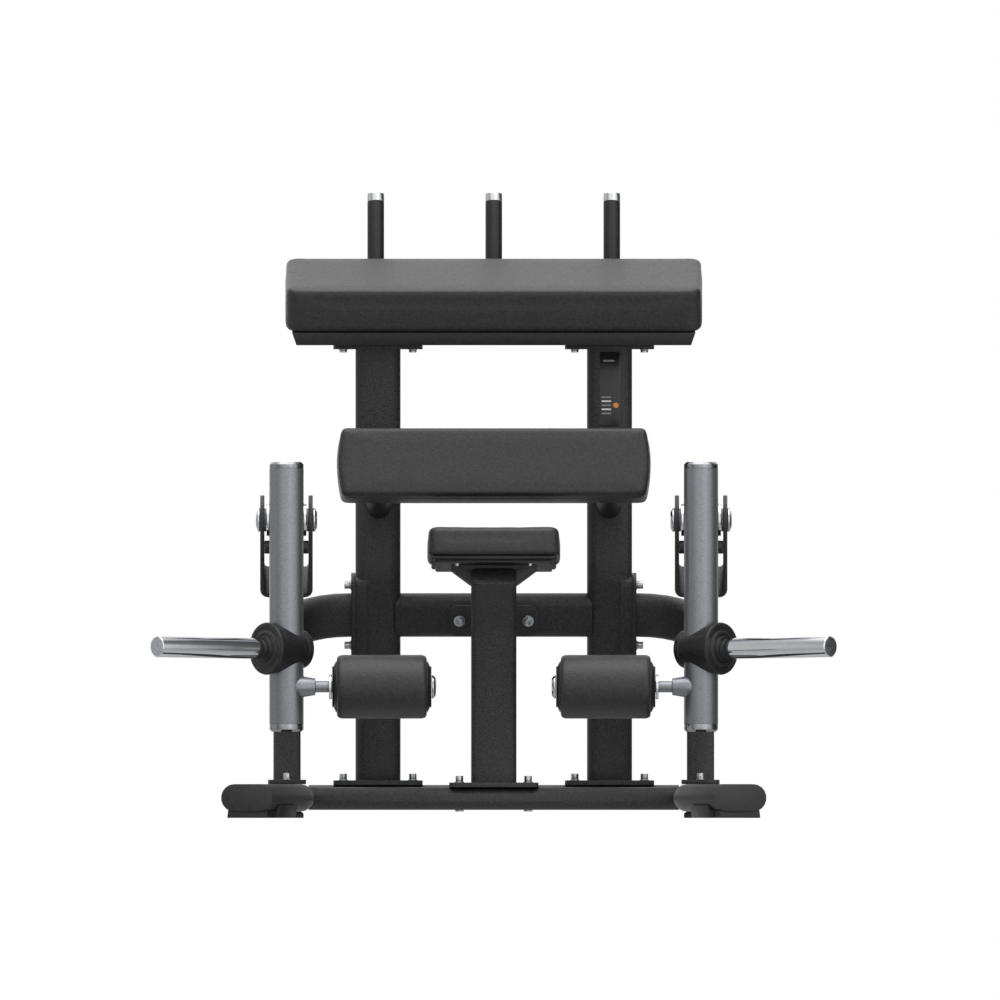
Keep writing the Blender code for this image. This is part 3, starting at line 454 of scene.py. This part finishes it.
def studio_tent():
    """World light from soft lobes; the camera itself sees plain white paper."""
    world = bpy.data.worlds.new("white_studio_tent")
    bpy.context.scene.world = world
    world.use_nodes = True
    tree = world.node_tree
    tree.nodes.clear()
    where = add(tree, "ShaderNodeTexCoord").outputs["Generated"]
    total = None
    for direction, start, full, strength in TENT_LOBES:
        aim = {0: where, 1: tuple(Vector(direction).normalized())}
        cosine = add(tree, "ShaderNodeVectorMath", aim, operation="DOT_PRODUCT")
        levels = {"Value": cosine.outputs["Value"], "From Min": start, "From Max": full, "To Max": strength}
        lobe = add(tree, "ShaderNodeMapRange", levels, interpolation_type="SMOOTHSTEP")
        summed = {0: lobe.outputs["Result"], 1: total.outputs[0] if total else TENT_BASE}
        total = add(tree, "ShaderNodeMath", summed, operation="ADD")
    tent = add(tree, "ShaderNodeBackground", {"Color": linear("#ffffff"), "Strength": total.outputs[0]})
    paper = add(tree, "ShaderNodeBackground", {"Color": linear("#ffffff"), "Strength": 1.0})
    path = add(tree, "ShaderNodeLightPath")
    seen = {0: path.outputs["Is Camera Ray"], 1: tent.outputs[0], 2: paper.outputs[0]}
    mixed = add(tree, "ShaderNodeMixShader", seen)
    add(tree, "ShaderNodeOutputWorld", {"Surface": mixed.outputs[0]})


studio_tent()
print("tent lobes:", len(TENT_LOBES))

# %% The floor
def studio_floor(half=4.0):
    """A pale sheet just under the shoes; its own grain is faint."""
    material, tree, shader, where = blank_material("pale_vinyl_floor", 0.7)
    grain(tree, shader, where, "#e9e9e8", "#f4f4f3", 60, 4, 0.05)
    drop = -0.4 * MM
    signs = ((-1, -1), (1, -1), (1, 1), (-1, 1))
    corners = [Vector((x * half, y * half, drop)) for x, y in signs]
    floor = new_piece("studio_floor", corners, [(0, 1, 2, 3)], material, None)
    floor.visible_diffuse = False
    floor.visible_glossy = False


studio_floor()

# %% [markdown]
# ## Frame steel
# Columns, feet, cross tubes, brackets and posts keep the frame's exact form. They only need their
# arrises eased and the black powder coat.

# %% Black steelwork
STEEL = ["crossbar", "front_cross_tube", "rear_cross_tube", "handle_frame", "seat_brace", "seat_post"]
for side, _ in SIDES:
    for part in ("foot_tube", "column", "side_tube", "side_post", "pivot_bracket", "thigh_standoff"):
        STEEL.append(f"{side}_{part}")
for node in STEEL:
    refined(node, POWDER_BLACK)
print("steel parts:", len(STEEL))

# %% Rubber shoes, feet plugs and pad backs
for side, _ in SIDES:
    refined(f"{side}_front_shoe", RUBBER)
    refined(f"{side}_rear_pad", RUBBER)
    refined(f"{side}_foot_cap", NYLON)
for node in ("upper_pad_board", "thigh_pad_board", "knee_pad_board"):
    refined(node, BOARD)

# %% [markdown]
# **Tube plugs.** Each open tube end that can be seen is closed by a moulded plug whose rim laps the
# cut: the back of each foot, the front of each side tube, and the raked end of the knee pad's post.

# %% Plugs in the visible tube ends
def face_middle(node, out):
    """Middle of the flat face that looks along a direction."""
    mesh = frame["nodes"][node].data
    corners = [mesh.vertices[v].co for p in mesh.polygons if p.normal.dot(out) > 0.9995 for v in p.vertices]
    return Vector([(min(p[i] for p in corners) + max(p[i] for p in corners)) / 2 for i in range(3)])


def tube_lid(name, seat, out, width, height, corner):
    """A plug's lid, sunk 2 mm into the end of a tube and standing 3 mm proud of it."""
    axes = (X_AXIS, out.cross(X_AXIS), out)
    outline = rounded_outline(width * MM, height * MM, corner * MM)
    lid = lofted(name, outline, plate_levels(5 * MM, 1.2 * MM), seat - out * 2 * MM, axes, NYLON, "frame")


POST_END = facing("seat_post", Vector((0, -0.69, 0.72)))
tube_lid("seat_post_plug", face_middle("seat_post", POST_END), POST_END, 99, 49, 12.5)
SIDE_TUBE_END = Vector((0, -math.cos(math.radians(20)), -math.sin(math.radians(20))))
for side, _ in SIDES:
    tube_end = end_middle(f"{side}_side_tube", SIDE_TUBE_END)
    tube_lid(f"{side}_side_tube_plug", tube_end, SIDE_TUBE_END, 49, 98, 24.4)
    tube_lid(f"{side}_foot_rear_plug", end_middle(f"{side}_foot_tube", Y_AXIS), Y_AXIS, 119, 59.5, 29.5)
print("plugs made")

# %% [markdown]
# ## The swinging arms
# An arm is a 76 mm round tube with the pivot housing welded behind it on a tapered rib. The tube
# is grey and the housing is masked and stays black, so they are separate pieces here.

# %% Arm tubes, housings and ribs
HOUSING_HALF = 38.5 * MM


def make_arm_tube(side):
    low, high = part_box(f"{side}_arm_bottom_cap"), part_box(f"{side}_arm_top_cap")
    centre = middle(f"{side}_arm_top_cap")
    radius = (high[1].x - high[0].x) / 2
    cap_height, cap_lap, wall = 17 * MM, 14 * MM, 4 * MM
    foot = Vector((centre.x, centre.y, low[0].z + cap_height))
    length = high[1].z - cap_lap - foot.z
    profile = [(0, radius - wall), (0, radius), (length, radius), (length, radius - wall)]
    name = f"{side}_arm_main_tube"
    tube = turned(name, profile, foot, Z_AXIS, POWDER_GREY, f"{side}_arm", steps=96, ring=True)
    dressed(tube, f"{side}_arm_tube")
    return centre.y + radius


def make_housing(side, tube_front):
    """The pivot housing, and the rib that narrows from the tube to it."""
    body = f"{side}_arm"
    pivot = JOINT_AT[f"{side}_arm_swing"]
    bore, outer = 20 * MM, 36.5 * MM
    shell = [(-HOUSING_HALF, bore), (-HOUSING_HALF, outer), (HOUSING_HALF, outer), (HOUSING_HALF, bore)]
    housing = turned(f"{side}_pivot_housing", shell, pivot, X_AXIS, POWDER_BLACK, body, ring=True)
    front, back = tube_front - 4 * MM, pivot.y - 10 * MM
    broad, narrow, half_plate = 62 * MM, 26 * MM, 8 * MM
    corners = [(front, -broad), (back, -narrow), (back, narrow), (front, broad)]
    levels = [(-half_plate, 0), (half_plate, 0)]
    start, axes = Vector((pivot.x, 0, pivot.z)), (Y_AXIS, Z_AXIS, X_AXIS)
    rib = lofted(f"{side}_housing_rib", lambda inset: corners, levels, start, axes, POWDER_BLACK, body)


# %% End caps of the arm tubes
def make_arm_caps(side):
    """Turned end caps, dark chromed: a broad chamfer outside and a spigot inside the tube."""
    chamfer, spigot = 5 * MM, 12 * MM
    for end, up, thick in (("top", Z_AXIS, 14 * MM), ("bottom", -Z_AXIS, 17 * MM)):
        node = f"{side}_arm_{end}_cap"
        low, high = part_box(node)
        radius = (high.x - low.x) / 2
        centre = middle(node)
        outer = high.z if end == "top" else -low.z
        base = Vector((centre.x, centre.y, 0)) + up * (outer - thick)
        profile = [(-spigot, 0), (-spigot, radius - chamfer), (0, radius - chamfer), (0, radius)]
        profile += [(thick - chamfer, radius), (thick, radius - chamfer), (thick, 0)]
        name = f"{side}_arm_{end}_plug"
        cap = turned(name, profile, base, up, DARK_CHROME, f"{side}_arm", ease=0.4 * MM, steps=96)
        dressed(cap, node)


for side, _ in SIDES:
    make_housing(side, make_arm_tube(side))
    make_arm_caps(side)
print("arms made")

# %% [markdown]
# ## Pivots
# Between the bracket plates and the housing sit the bearing's bright outer ring and a spacer, whose pale
# colour is painted highlight, and the axle ends outside in low domed heads. They are tiny, but they are the
# brightest things there.

# %% Axle heads, bearing rings and spacers
def make_axle(side):
    """One pin through both plates, with a low dome outside each."""
    plate_out, head, pin = 58.3 * MM, 26.5 * MM, 12.5 * MM
    profile = [(-plate_out - 10.5 * MM, 0), (-plate_out - 9.5 * MM, 17 * MM), (-plate_out - 5 * MM, head)]
    profile += [(-plate_out, head), (-plate_out, pin)]
    mirrored = [(-along, radius) for along, radius in reversed(profile)]
    pivot = JOINT_AT[f"{side}_arm_swing"]
    axle = turned(f"{side}_axle_pin", profile + mirrored, pivot, X_AXIS, CHROME, "frame", ease=2.0 * MM)
    dressed(axle, f"{side}_pivot_axle")


def make_bearings(side):
    """A stepped ring pressed into each end of the housing, and the spacer outside it."""
    ring = [(-4 * MM, 14 * MM), (-4 * MM, 36 * MM), (5.5 * MM, 36 * MM), (5.5 * MM, 29 * MM)]
    ring += [(3.5 * MM, 27 * MM), (3.5 * MM, 14 * MM)]
    sleeve = [(6 * MM, 12.6 * MM), (6 * MM, 25.5 * MM), (10.2 * MM, 25.5 * MM), (10.2 * MM, 12.6 * MM)]
    for word, way in (("inner", -1), ("outer", 1)):
        out = X_AXIS * way
        seat = JOINT_AT[f"{side}_arm_swing"] + out * HOUSING_HALF
        bearing = turned(f"{side}_{word}_bearing", ring, seat, out, CHROME, f"{side}_arm", ring=True)
        # Each spacer's pale finish is painted highlight, so it stays bright where it sits in shade.
        spacer = turned(f"{side}_{word}_spacer", sleeve, seat, out, PALE_SPACER_PAINTED_HIGHLIGHT, "frame", ring=True)


def make_stop(side):
    """A rubber sleeve on a cross bolt between the bracket's plates."""
    node = f"{side}_arm_stop"
    low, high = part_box(node)
    radius, half = (high.z - low.z) / 2, (high.x - low.x) / 2
    profile = [(-half, 0), (-half, radius), (half, radius), (half, 0)]
    stop = turned(f"{side}_rest_stop", profile, middle(node), X_AXIS, RUBBER, "frame", ease=2 * MM)
    dressed(stop, node)


for side, _ in SIDES:
    make_axle(side)
    make_bearings(side)
    make_stop(side)
print("pivots made")

# %% [markdown]
# ## Weight horns and collars
# A horn is a ground and chromed bar; its end face is only saw-cut and plated, so it looks flat
# grey with a bright rim. The collar is a moulded rubber cone that grips the arm and gives the
# plates a soft face, with stepped rings around the bar.

# %% Horns
def horn_axes(side, sign):
    """Where the horn's centre line crosses the arm's, and the direction it leaves in."""
    node = f"{side}_weight_horn"
    out = facing(node, Vector((sign, -1, 0)).normalized())
    tip = end_middle(node, out)
    arm = middle(f"{side}_arm_top_cap")
    reach = math.hypot(tip.x - arm.x, tip.y - arm.y) / math.hypot(out.x, out.y)
    return tip - out * reach, out


def make_horn(side, sign):
    origin, out = horn_axes(side, sign)
    radius = 23.5 * MM
    tip = spread(f"{side}_weight_horn", out)[1] - origin.dot(out)
    chamfer, dish = 2 * MM, 0.5 * MM
    bar = [(30 * MM, 0), (30 * MM, radius), (tip - chamfer, radius), (tip, radius - chamfer)]
    bar += [(tip - dish, radius - chamfer - dish), (tip - dish, 0)]
    horn = turned(f"{side}_horn_bar", bar, origin, out, CHROME, f"{side}_arm", ease=0.3 * MM, steps=96)
    dressed(horn, f"{side}_weight_horn")
    sawn = radius - chamfer - 2 * dish
    disc = [(tip - 2 * dish, 0), (tip - 2 * dish, sawn), (tip - 0.6 * dish, sawn), (tip - 0.6 * dish, 0)]
    face = turned(f"{side}_horn_end_face", disc, origin, out, ZINC, f"{side}_arm", ease=0.1 * MM, steps=96)


def make_collar(side, sign):
    """The cone and its stepped mouth, as (distance, radius) in mm from the arm's centre line."""
    origin, out = horn_axes(side, sign)
    profile = [(-48, 0), (-48, 38), (-45, 42), (-31, 43.5), (-30, 42.2), (-29, 43.7), (52, 57.2), (56, 58.2)]
    profile += [(60, 57), (61.4, 54), (61.4, 47.5), (59.6, 46.5), (59.6, 41), (61.8, 40), (64, 36.4)]
    profile += [(64, 31.5), (62.6, 30.6), (62.6, 28), (67, 27), (67, 23.2), (55, 23.2), (55, 0)]
    points = [(along * MM, radius * MM) for along, radius in profile]
    collar = turned(f"{side}_collar", points, origin, out, RUBBER, f"{side}_arm", ease=1.2 * MM, steps=96)
    dressed(collar, f"{side}_horn_collar")


for side, sign in SIDES:
    make_horn(side, sign)
    make_collar(side, sign)
print("horns made")

# %% [markdown]
# ## Ankle rollers
# A foam tube on a plastic core turns on the arm's stub axle. The axle leaves the arm through a
# welded, painted boss; a washer, the core's end discs and a domed cap close the stack.

# %% Roller hardware
FOAM_NEAR, FOAM_FAR = 0.349, 0.147
ROLLER_PIN = 12.5 * MM


def roller_line(side, sign):
    """Where the roller's axis crosses the arm's, its direction, and the foam's two ends along it."""
    arm = middle(f"{side}_arm_top_cap")
    centre = JOINT_AT[f"{side}_roller_spin"]
    near, far = [abs(arm.x) - abs(x) for x in (FOAM_NEAR, FOAM_FAR)]
    return Vector((arm.x, centre.y, centre.z)), X_AXIS * -sign, near, far


def make_roller_axle(side, sign):
    """A painted conical boss with the stub axle, the washer before the roller and the cap after it."""
    origin, inward, near, far = roller_line(side, sign)
    body = f"{side}_arm"
    boss, boss_end, washer, cap = 24 * MM, 18.5 * MM, 27.5 * MM, 26 * MM
    axle = [(20 * MM, 0), (20 * MM, boss), (31 * MM, boss), (64 * MM, boss_end), (64 * MM, ROLLER_PIN)]
    axle += [(far + 9 * MM, ROLLER_PIN), (far + 9 * MM, 0)]
    stub = turned(f"{side}_roller_stub", axle, origin, inward, POWDER_GREY, body, ease=1.5 * MM)
    dressed(stub, f"{side}_roller_axle")
    back, front = near - 16 * MM, near - 9.7 * MM
    rim = [(back, ROLLER_PIN), (back, washer), (front, washer), (front, ROLLER_PIN)]
    ring = turned(f"{side}_roller_washer", rim, origin, inward, CHROME, body, ring=True)
    start = far + 9.6 * MM
    profile = [(start, 0), (start, cap), (start + 4 * MM, cap), (start + 9 * MM, 19 * MM)]
    profile.append((start + 11.5 * MM, 0))
    dome = turned(f"{side}_roller_dome", profile, origin, inward, CHROME, body, ease=4 * MM)
    dressed(dome, f"{side}_roller_cap")


def make_spool(side, sign):
    """The core that the foam slides on, with a stepped disc at each end."""
    origin, inward, near, far = roller_line(side, sign)
    disc, shoulder, core, bore = 45.5 * MM, 56 * MM, 37 * MM, ROLLER_PIN + 0.5 * MM
    lip = [(9, bore), (9, disc), (6.6, disc), (6.6, disc - 2 * MM), (0.6, shoulder), (-1.5, shoulder)]
    lip.append((-1.5, core))
    profile = [(near - out * MM, radius) for out, radius in lip]
    profile += [(far + out * MM, radius) for out, radius in reversed(lip)]
    # The core takes the darker rubber rather than the nylon finish: painted shade for its end discs, which face
    # sideways out of the light.
    spool = turned(f"{side}_roller_spool", profile, origin, inward, RUBBER, f"{side}_roller", ring=True)
    dressed(spool, f"{side}_roller_core")


for side, sign in SIDES:
    make_roller_axle(side, sign)
    make_spool(side, sign)
print("roller hardware made")

# %% [markdown]
# ## Hand grips
# Each upright carries a moulded rubber sleeve held by a turned aluminium cap.

# %% Grips and caps
def make_grip(name):
    sleeve_node, cap_node = f"{name}_grip", f"{name}_grip_cap"
    up = facing(cap_node, Z_AXIS)
    low, high = spread(sleeve_node, up)
    cap_high = spread(cap_node, up)[1]
    centre = middle(cap_node)
    axis_point = centre - up * centre.dot(up)
    outer, bore = 18.5 * MM, 14.5 * MM
    sleeve = [(low, bore), (low, outer), (high, outer), (high, bore)]
    grip = turned(f"{name}_grip_sleeve", sleeve, axis_point, up, RUBBER, "frame", ease=1.5 * MM, ring=True)
    dressed(grip, sleeve_node)
    cap_low, rim = high + 0.2 * MM, outer + 0.5 * MM
    cap = [(cap_low, 0), (cap_low, rim), (cap_high, rim), (cap_high, 0)]
    top = turned(f"{name}_grip_end", cap, axis_point, up, CHROME, "frame", ease=1.5 * MM)
    dressed(top, cap_node)


for name in ("left", "middle", "right"):
    make_grip(name)
print("grips made")

# %% [markdown]
# ## Pads
# A machine pad is foam glued to a board under a tight vinyl skin. To get the way such a skin
# swells between its corners, each pad is built as an eased block a little under size, remeshed
# into even cells, and blown up as cloth with the board side held. The swelling is capped, because
# dense foam hardly bulges.

# %% Blocks for the pads, in their own axes
def bowed_outline(width, height, bow, radius, steps=8):
    """A rectangle whose two short ends bow outwards and whose corners are round."""
    bend = ((height / 2) ** 2 + bow**2) / (2 * bow)
    base = rounded_outline(width, height, radius, steps)

    def outline(inset):
        corners = base(inset)
        bowed = []
        for (u, v), (next_u, next_v) in zip(corners, corners[1:] + corners[:1]):
            parts = 16 if abs(next_v - v) > height / 3 else 1
            for i in range(parts):
                along = v + (next_v - v) * i / parts
                back = bend - math.sqrt(max(bend**2 - along**2, 0))
                across = u + (next_u - u) * i / parts
                bowed.append((across - math.copysign(back, across), along))
        return bowed

    return outline


def block_levels(thickness, top_ease, bottom_ease, steps=6):
    """Heights and insets from the board side up to the face."""
    quarter = [math.pi / 2 * i / steps for i in range(steps + 1)]
    low = [(bottom_ease * (1 - math.cos(q)), bottom_ease * (1 - math.sin(q))) for q in quarter]
    high = [(thickness - top_ease * (1 - math.sin(q)), top_ease * (1 - math.cos(q))) for q in quarter]
    return low + high


# %% Remesh, inflate and cap
def inflate(name, points, faces, voxel, cap, held):
    """Cloth under pressure with the points in `held` pinned; returns the settled mesh."""
    mesh = bpy.data.meshes.new(name)
    mesh.from_pydata([tuple(p) for p in points], [], faces)
    work = bmesh.new()
    work.from_mesh(mesh)
    bmesh.ops.recalc_face_normals(work, faces=work.faces)
    work.to_mesh(mesh)
    work.free()
    block = bpy.data.objects.new(name, mesh)
    bpy.context.scene.collection.objects.link(block)
    remesh = block.modifiers.new("even_cells", "REMESH")
    remesh.mode = "VOXEL"
    remesh.voxel_size = voxel
    settle(block)
    before = [v.co.copy() for v in block.data.vertices]
    group = block.vertex_groups.new(name="held")
    group.add([v.index for v in block.data.vertices if held(v.co)], 1.0, "REPLACE")
    cloth = block.modifiers.new("skin", "CLOTH")
    cloth.settings.use_pressure = True
    cloth.settings.uniform_pressure_force = 4
    cloth.settings.effector_weights.gravity = 0
    cloth.settings.vertex_group_mass = "held"
    cloth.settings.quality = 4
    scene = bpy.context.scene
    for step in range(1, 21):
        scene.frame_set(step)
    settle(block)
    scene.frame_set(1)
    for vertex, start in zip(block.data.vertices, before):
        moved = vertex.co - start
        if moved.length > 1e-9:
            vertex.co = start + moved.normalized() * cap * math.tanh(moved.length / cap)
    return block


def fitted(point, low, high, wanted_low, wanted_high):
    """The point carried from one box to another."""
    shares = [(point[i] - low[i]) / (high[i] - low[i]) for i in range(3)]
    return Vector([wanted_low[i] + shares[i] * (wanted_high[i] - wanted_low[i]) for i in range(3)])


def reach_of(mesh):
    spots = [v.co for v in mesh.vertices]
    return [min(p[i] for p in spots) for i in range(3)], [max(p[i] for p in spots) for i in range(3)]


def settle(block):
    """Applies what the modifiers make, and removes them."""
    bpy.context.view_layer.update()
    graph = bpy.context.evaluated_depsgraph_get()
    made = bpy.data.meshes.new_from_object(block.evaluated_get(graph))
    block.modifiers.clear()
    block.data = made


def relax(mesh, rounds):
    work = bmesh.new()
    work.from_mesh(mesh)
    for _ in range(rounds):
        every_way = {"use_axis_x": True, "use_axis_y": True, "use_axis_z": True}
        bmesh.ops.smooth_vert(work, verts=work.verts, factor=0.5, **every_way)
    work.to_mesh(mesh)
    work.free()


# %% Smooth and cover a settled cushion
def smoothed(block):
    relax(block.data, 2)
    subdivide = block.modifiers.new("smooth", "SUBSURF")
    subdivide.levels = subdivide.render_levels = 1
    settle(block)


def covered(block, node):
    """Puts the vinyl on and lets the cushion stand for its CAD solid."""
    block.data.shade_smooth()
    block.data.materials.clear()
    block.data.materials.append(VINYL)
    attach(block, BODY_OF[node])
    dressed(block, node)
    print(node, "cushion:", len(block.data.vertices), "points")


# %% Pads on their boards
def make_pad(node, near, outline_of, top_ease, voxel, cap):
    """Builds the pad flat in its own axes, inflates it, then stands it where the CAD pad is."""
    out = facing(node, near)
    axes = (X_AXIS, out.cross(X_AXIS), out)
    lowest, highest = zip(*[spread(node, axis) for axis in axes])
    width, height, thick = [high - low for low, high in zip(lowest, highest)]
    outline = outline_of(width - 2 * cap, height - 2 * cap)
    levels = block_levels(thick - cap, top_ease, 5 * MM)
    points, faces = loft_mesh(outline, levels, lambda u, v, w: Vector((u, v, w)))
    pad = inflate(f"{node}_cushion", points, faces, voxel, cap, lambda p: p.z < 3 * MM)
    smoothed(pad)
    low, high = reach_of(pad.data)
    for vertex in pad.data.vertices:
        u, v, w = fitted(vertex.co, low, high, lowest, highest)
        vertex.co = axes[0] * u + axes[1] * v + axes[2] * w
    low, high = reach_of(pad.data)
    box_low, box_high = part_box(node)
    for vertex in pad.data.vertices:
        vertex.co = fitted(vertex.co, low, high, box_low, box_high)
    covered(pad, node)


def square_ended(corner):
    return lambda width, height: rounded_outline(width, height, corner)


def bow_ended(width, height):
    return bowed_outline(width, height, 9 * MM, 10 * MM)


make_pad("upper_pad", Z_AXIS, square_ended(28 * MM), 9 * MM, 5 * MM, 1.2 * MM)
make_pad("thigh_pad", -Y_AXIS, bow_ended, 12 * MM, 4 * MM, 1.2 * MM)
make_pad("knee_pad", Z_AXIS, square_ended(20 * MM), 12 * MM, 4 * MM, 1.6 * MM)

# %% Roller foam
def make_roller_foam(side):
    """The foam tube is inflated about its core, which holds its bore."""
    node = f"{side}_roller_pad"
    low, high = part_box(node)
    skin, bore, edge = 3 * MM, 37 * MM, 9 * MM
    outer, end = (high.z - low.z) / 2 - skin, (high.x - low.x) / 2 - skin
    ring = [(-end, bore), (-end, outer), (end, outer), (end, bore)]
    rolled = turned(f"{side}_foam_start", ring, Vector(), Z_AXIS, VINYL, None, ease=edge, steps=48, ring=True)
    points = [v.co.copy() for v in rolled.data.vertices]
    faces = [tuple(p.vertices) for p in rolled.data.polygons]
    bpy.data.objects.remove(rolled)
    held = lambda p: math.hypot(p.x, p.y) < bore + 4 * MM
    foam = inflate(f"{side}_roller_foam", points, faces, 4 * MM, skin, held)
    smoothed(foam)
    foam_low, foam_high = reach_of(foam.data)
    spun_low, spun_high = (low.y, low.z, low.x), (high.y, high.z, high.x)
    for vertex in foam.data.vertices:
        y, z, x = fitted(vertex.co, foam_low, foam_high, spun_low, spun_high)
        vertex.co = (x, y, z)
    covered(foam, node)


for side, _ in SIDES:
    make_roller_foam(side)
print("rollers made")

# %% [markdown]
# ## Bolts
# The frame comes apart at its flanges. Each flange is held by socket-head screws on washers, zinc
# plated, which catch the light as small bright studs.

# %% Socket-head screw, washer and nut
def make_screw(name, seat, out, head=17 * MM, tall=15 * MM, washer=21 * MM):
    """A washer, a cylindrical head and the socket sunk in it."""
    rim = [(0, 0), (0, washer / 2), (2 * MM, washer / 2), (2 * MM, 0)]
    turned(f"{name}_washer", rim, seat, out, ZINC, "frame", ease=0.5 * MM, steps=40)
    radius, socket, depth = head / 2, head * 0.27, tall * 0.4
    profile = [(1.8 * MM, 0), (1.8 * MM, radius), (tall, radius), (tall, socket)]
    profile += [(tall - depth, socket), (tall - depth, 0)]
    turned(f"{name}_head", profile, seat, out, ZINC, "frame", ease=0.9 * MM, steps=40)


def make_nut(name, seat, out):
    across = out.orthogonal().normalized()
    axes = (across, out.cross(across), out)
    levels = plate_levels(4 * MM, 0.8 * MM)
    nut = lofted(name, polygon_outline(6, 8.5 * MM), levels, seat, axes, ZINC, "frame")


# %% Screws through the flanges
COLUMN_REACH = 77 * MM
POST_REACH = 76 * MM
FLANGE = 10.3 * MM
LEFT_AND_RIGHT = (("left", -1), ("right", 1))


def base_screws(name, flange_node, tube_node, reach):
    """Two screws down through a base flange, and their nuts under the cross tube."""
    x = middle(flange_node).x
    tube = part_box(tube_node)
    y = middle(tube_node).y
    for word, way in LEFT_AND_RIGHT:
        top = Vector((x + way * reach, y, tube[1].z + FLANGE))
        make_screw(f"{name}_{word}_screw", top, Z_AXIS)
        make_nut(f"{name}_{word}_nut", Vector((x + way * reach, y, tube[0].z)), -Z_AXIS)


base_screws("seat_post_base", "seat_post", "front_cross_tube", POST_REACH)
for side, _ in SIDES:
    column = f"{side}_column"
    base_screws(f"{side}_column_base", column, "rear_cross_tube", COLUMN_REACH)
    head = end_middle(column, Z_AXIS)
    for word, way in LEFT_AND_RIGHT:
        under = head + Vector((way * COLUMN_REACH, 0, -FLANGE))
        make_screw(f"{side}_column_head_{word}_screw", under, -Z_AXIS, tall=7 * MM, washer=19 * MM)
print("flange screws made")

# %% [markdown]
# The side tubes bolt to the columns edge-on, so those screws point outwards. The brace's screws
# face the user from the crossbar, on wide washers, and one screw stands in front of each side post.

# %% Screws that face sideways and forwards
def rake_axes():
    """Up and forward along the raked steel, read from the seat brace."""
    forward = facing("seat_brace", Vector((0, -0.94, -0.34)))
    return X_AXIS.cross(forward), forward


RAKE_UP, RAKE_FORWARD = rake_axes()
SEAT_DEPTH, TUBE_REACH = 9 * MM, 71 * MM
for side, sign in SIDES:
    tube = f"{side}_side_tube"
    out = X_AXIS * sign
    start = end_middle(tube, -out)
    for word, way in (("upper", 1), ("lower", -1)):
        seat = start + out * SEAT_DEPTH + RAKE_UP * (way * TUBE_REACH)
        make_screw(f"{side}_side_tube_{word}_screw", seat, out, washer=22 * MM)
    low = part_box(f"{side}_side_post")[0]
    post_front, post_flange = 14 * MM, 9.6 * MM
    seat = Vector((middle(f"{side}_side_post").x, low.y + post_front, low.z + post_flange))
    make_screw(f"{side}_side_post_screw", seat, Z_AXIS)

# %% Screws of the seat brace
BRACE_PLATE = 8.3 * MM
brace_end = spread("seat_brace", -RAKE_FORWARD)[1] - BRACE_PLATE
brace_height = sum(spread("seat_brace", RAKE_UP)) / 2
for word, way in LEFT_AND_RIGHT:
    face = X_AXIS * (way * POST_REACH) + RAKE_UP * brace_height - RAKE_FORWARD * brace_end
    make_screw(f"seat_brace_{word}_screw", face, RAKE_FORWARD, washer=25.5 * MM, tall=12 * MM)
print("side and brace screws made")

# %% Small screws that hold the knee pad's plate
knee_up = facing("knee_pad_board", Z_AXIS)
knee_plate = middle("knee_pad_board") - knee_up * 10.8 * MM
for word, way in LEFT_AND_RIGHT:
    for place, ahead in (("front", 84 * MM), ("rear", -84 * MM)):
        seat = knee_plate + X_AXIS * (way * 81 * MM) - Y_AXIS * ahead
        seat += knee_up * (knee_plate - seat).dot(knee_up)
        make_screw(f"knee_{place}_{word}_screw", seat, -knee_up, head=9.5 * MM, tall=6 * MM, washer=12 * MM)
print("knee pad screws made")

# %% [markdown]
# ## Information plate
# A thin printed film on the right column. It carries no lettering and no picture: a plain bar where
# a title would be, five equal ruled bars below it, and a round orange spot.

# %% Film and inks
def printed(name, dark, light, rough=0.3):
    material, tree, shader, where = blank_material(name, rough)
    grain(tree, shader, where, dark, light, 20, 2, 0.02)
    return material


FILM = printed("screen_printed_satin_film", "#131315", "#1a1a1c")
WHITE_INK = printed("screen_printed_white_ink", "#cfcfcf", "#dcdcdc", 0.5)
GREY_INK = printed("screen_printed_grey_ink", "#77777a", "#868689", 0.5)
ORANGE_INK = printed("screen_printed_orange_ink", "#cf7f22", "#e08f30", 0.5)
refined("info_plate", FILM, arris=0.15 * MM)

# %% Strokes on the film, in millimetres from its middle
PLATE_OUT = facing("info_plate", -Y_AXIS)
PLATE_UP = PLATE_OUT.cross(X_AXIS)
PLATE_FACE = middle("info_plate") + PLATE_OUT * 0.6 * MM


def mark(name, start, end, width, ink):
    """A flat stroke with round ends; a stroke of no length is a dot."""
    start, end = Vector(start) * MM, Vector(end) * MM
    run = end - start
    angle = math.atan2(run.y, run.x)
    across = X_AXIS * math.cos(angle) + PLATE_UP * math.sin(angle)
    centre = PLATE_FACE + X_AXIS * ((start.x + end.x) / 2) + PLATE_UP * ((start.y + end.y) / 2)
    outline = rounded_outline(run.length + width * MM, width * MM, width * MM * 0.499)
    axes = (across, PLATE_OUT.cross(across), PLATE_OUT)
    stroke = lofted(name, outline, plate_levels(0.25 * MM, 0.05 * MM), centre, axes, ink, "frame")


mark("mark_title", (-13, 63), (8, 63), 4, GREY_INK)
for row in range(5):
    down = -18 - 9 * row
    mark(f"mark_row_{row}", (-17, down), (1, down), 3.5, WHITE_INK if row % 2 else GREY_INK)
mark("mark_spot", (13, -36), (13, -36), 12, ORANGE_INK)
print("plate marks made")
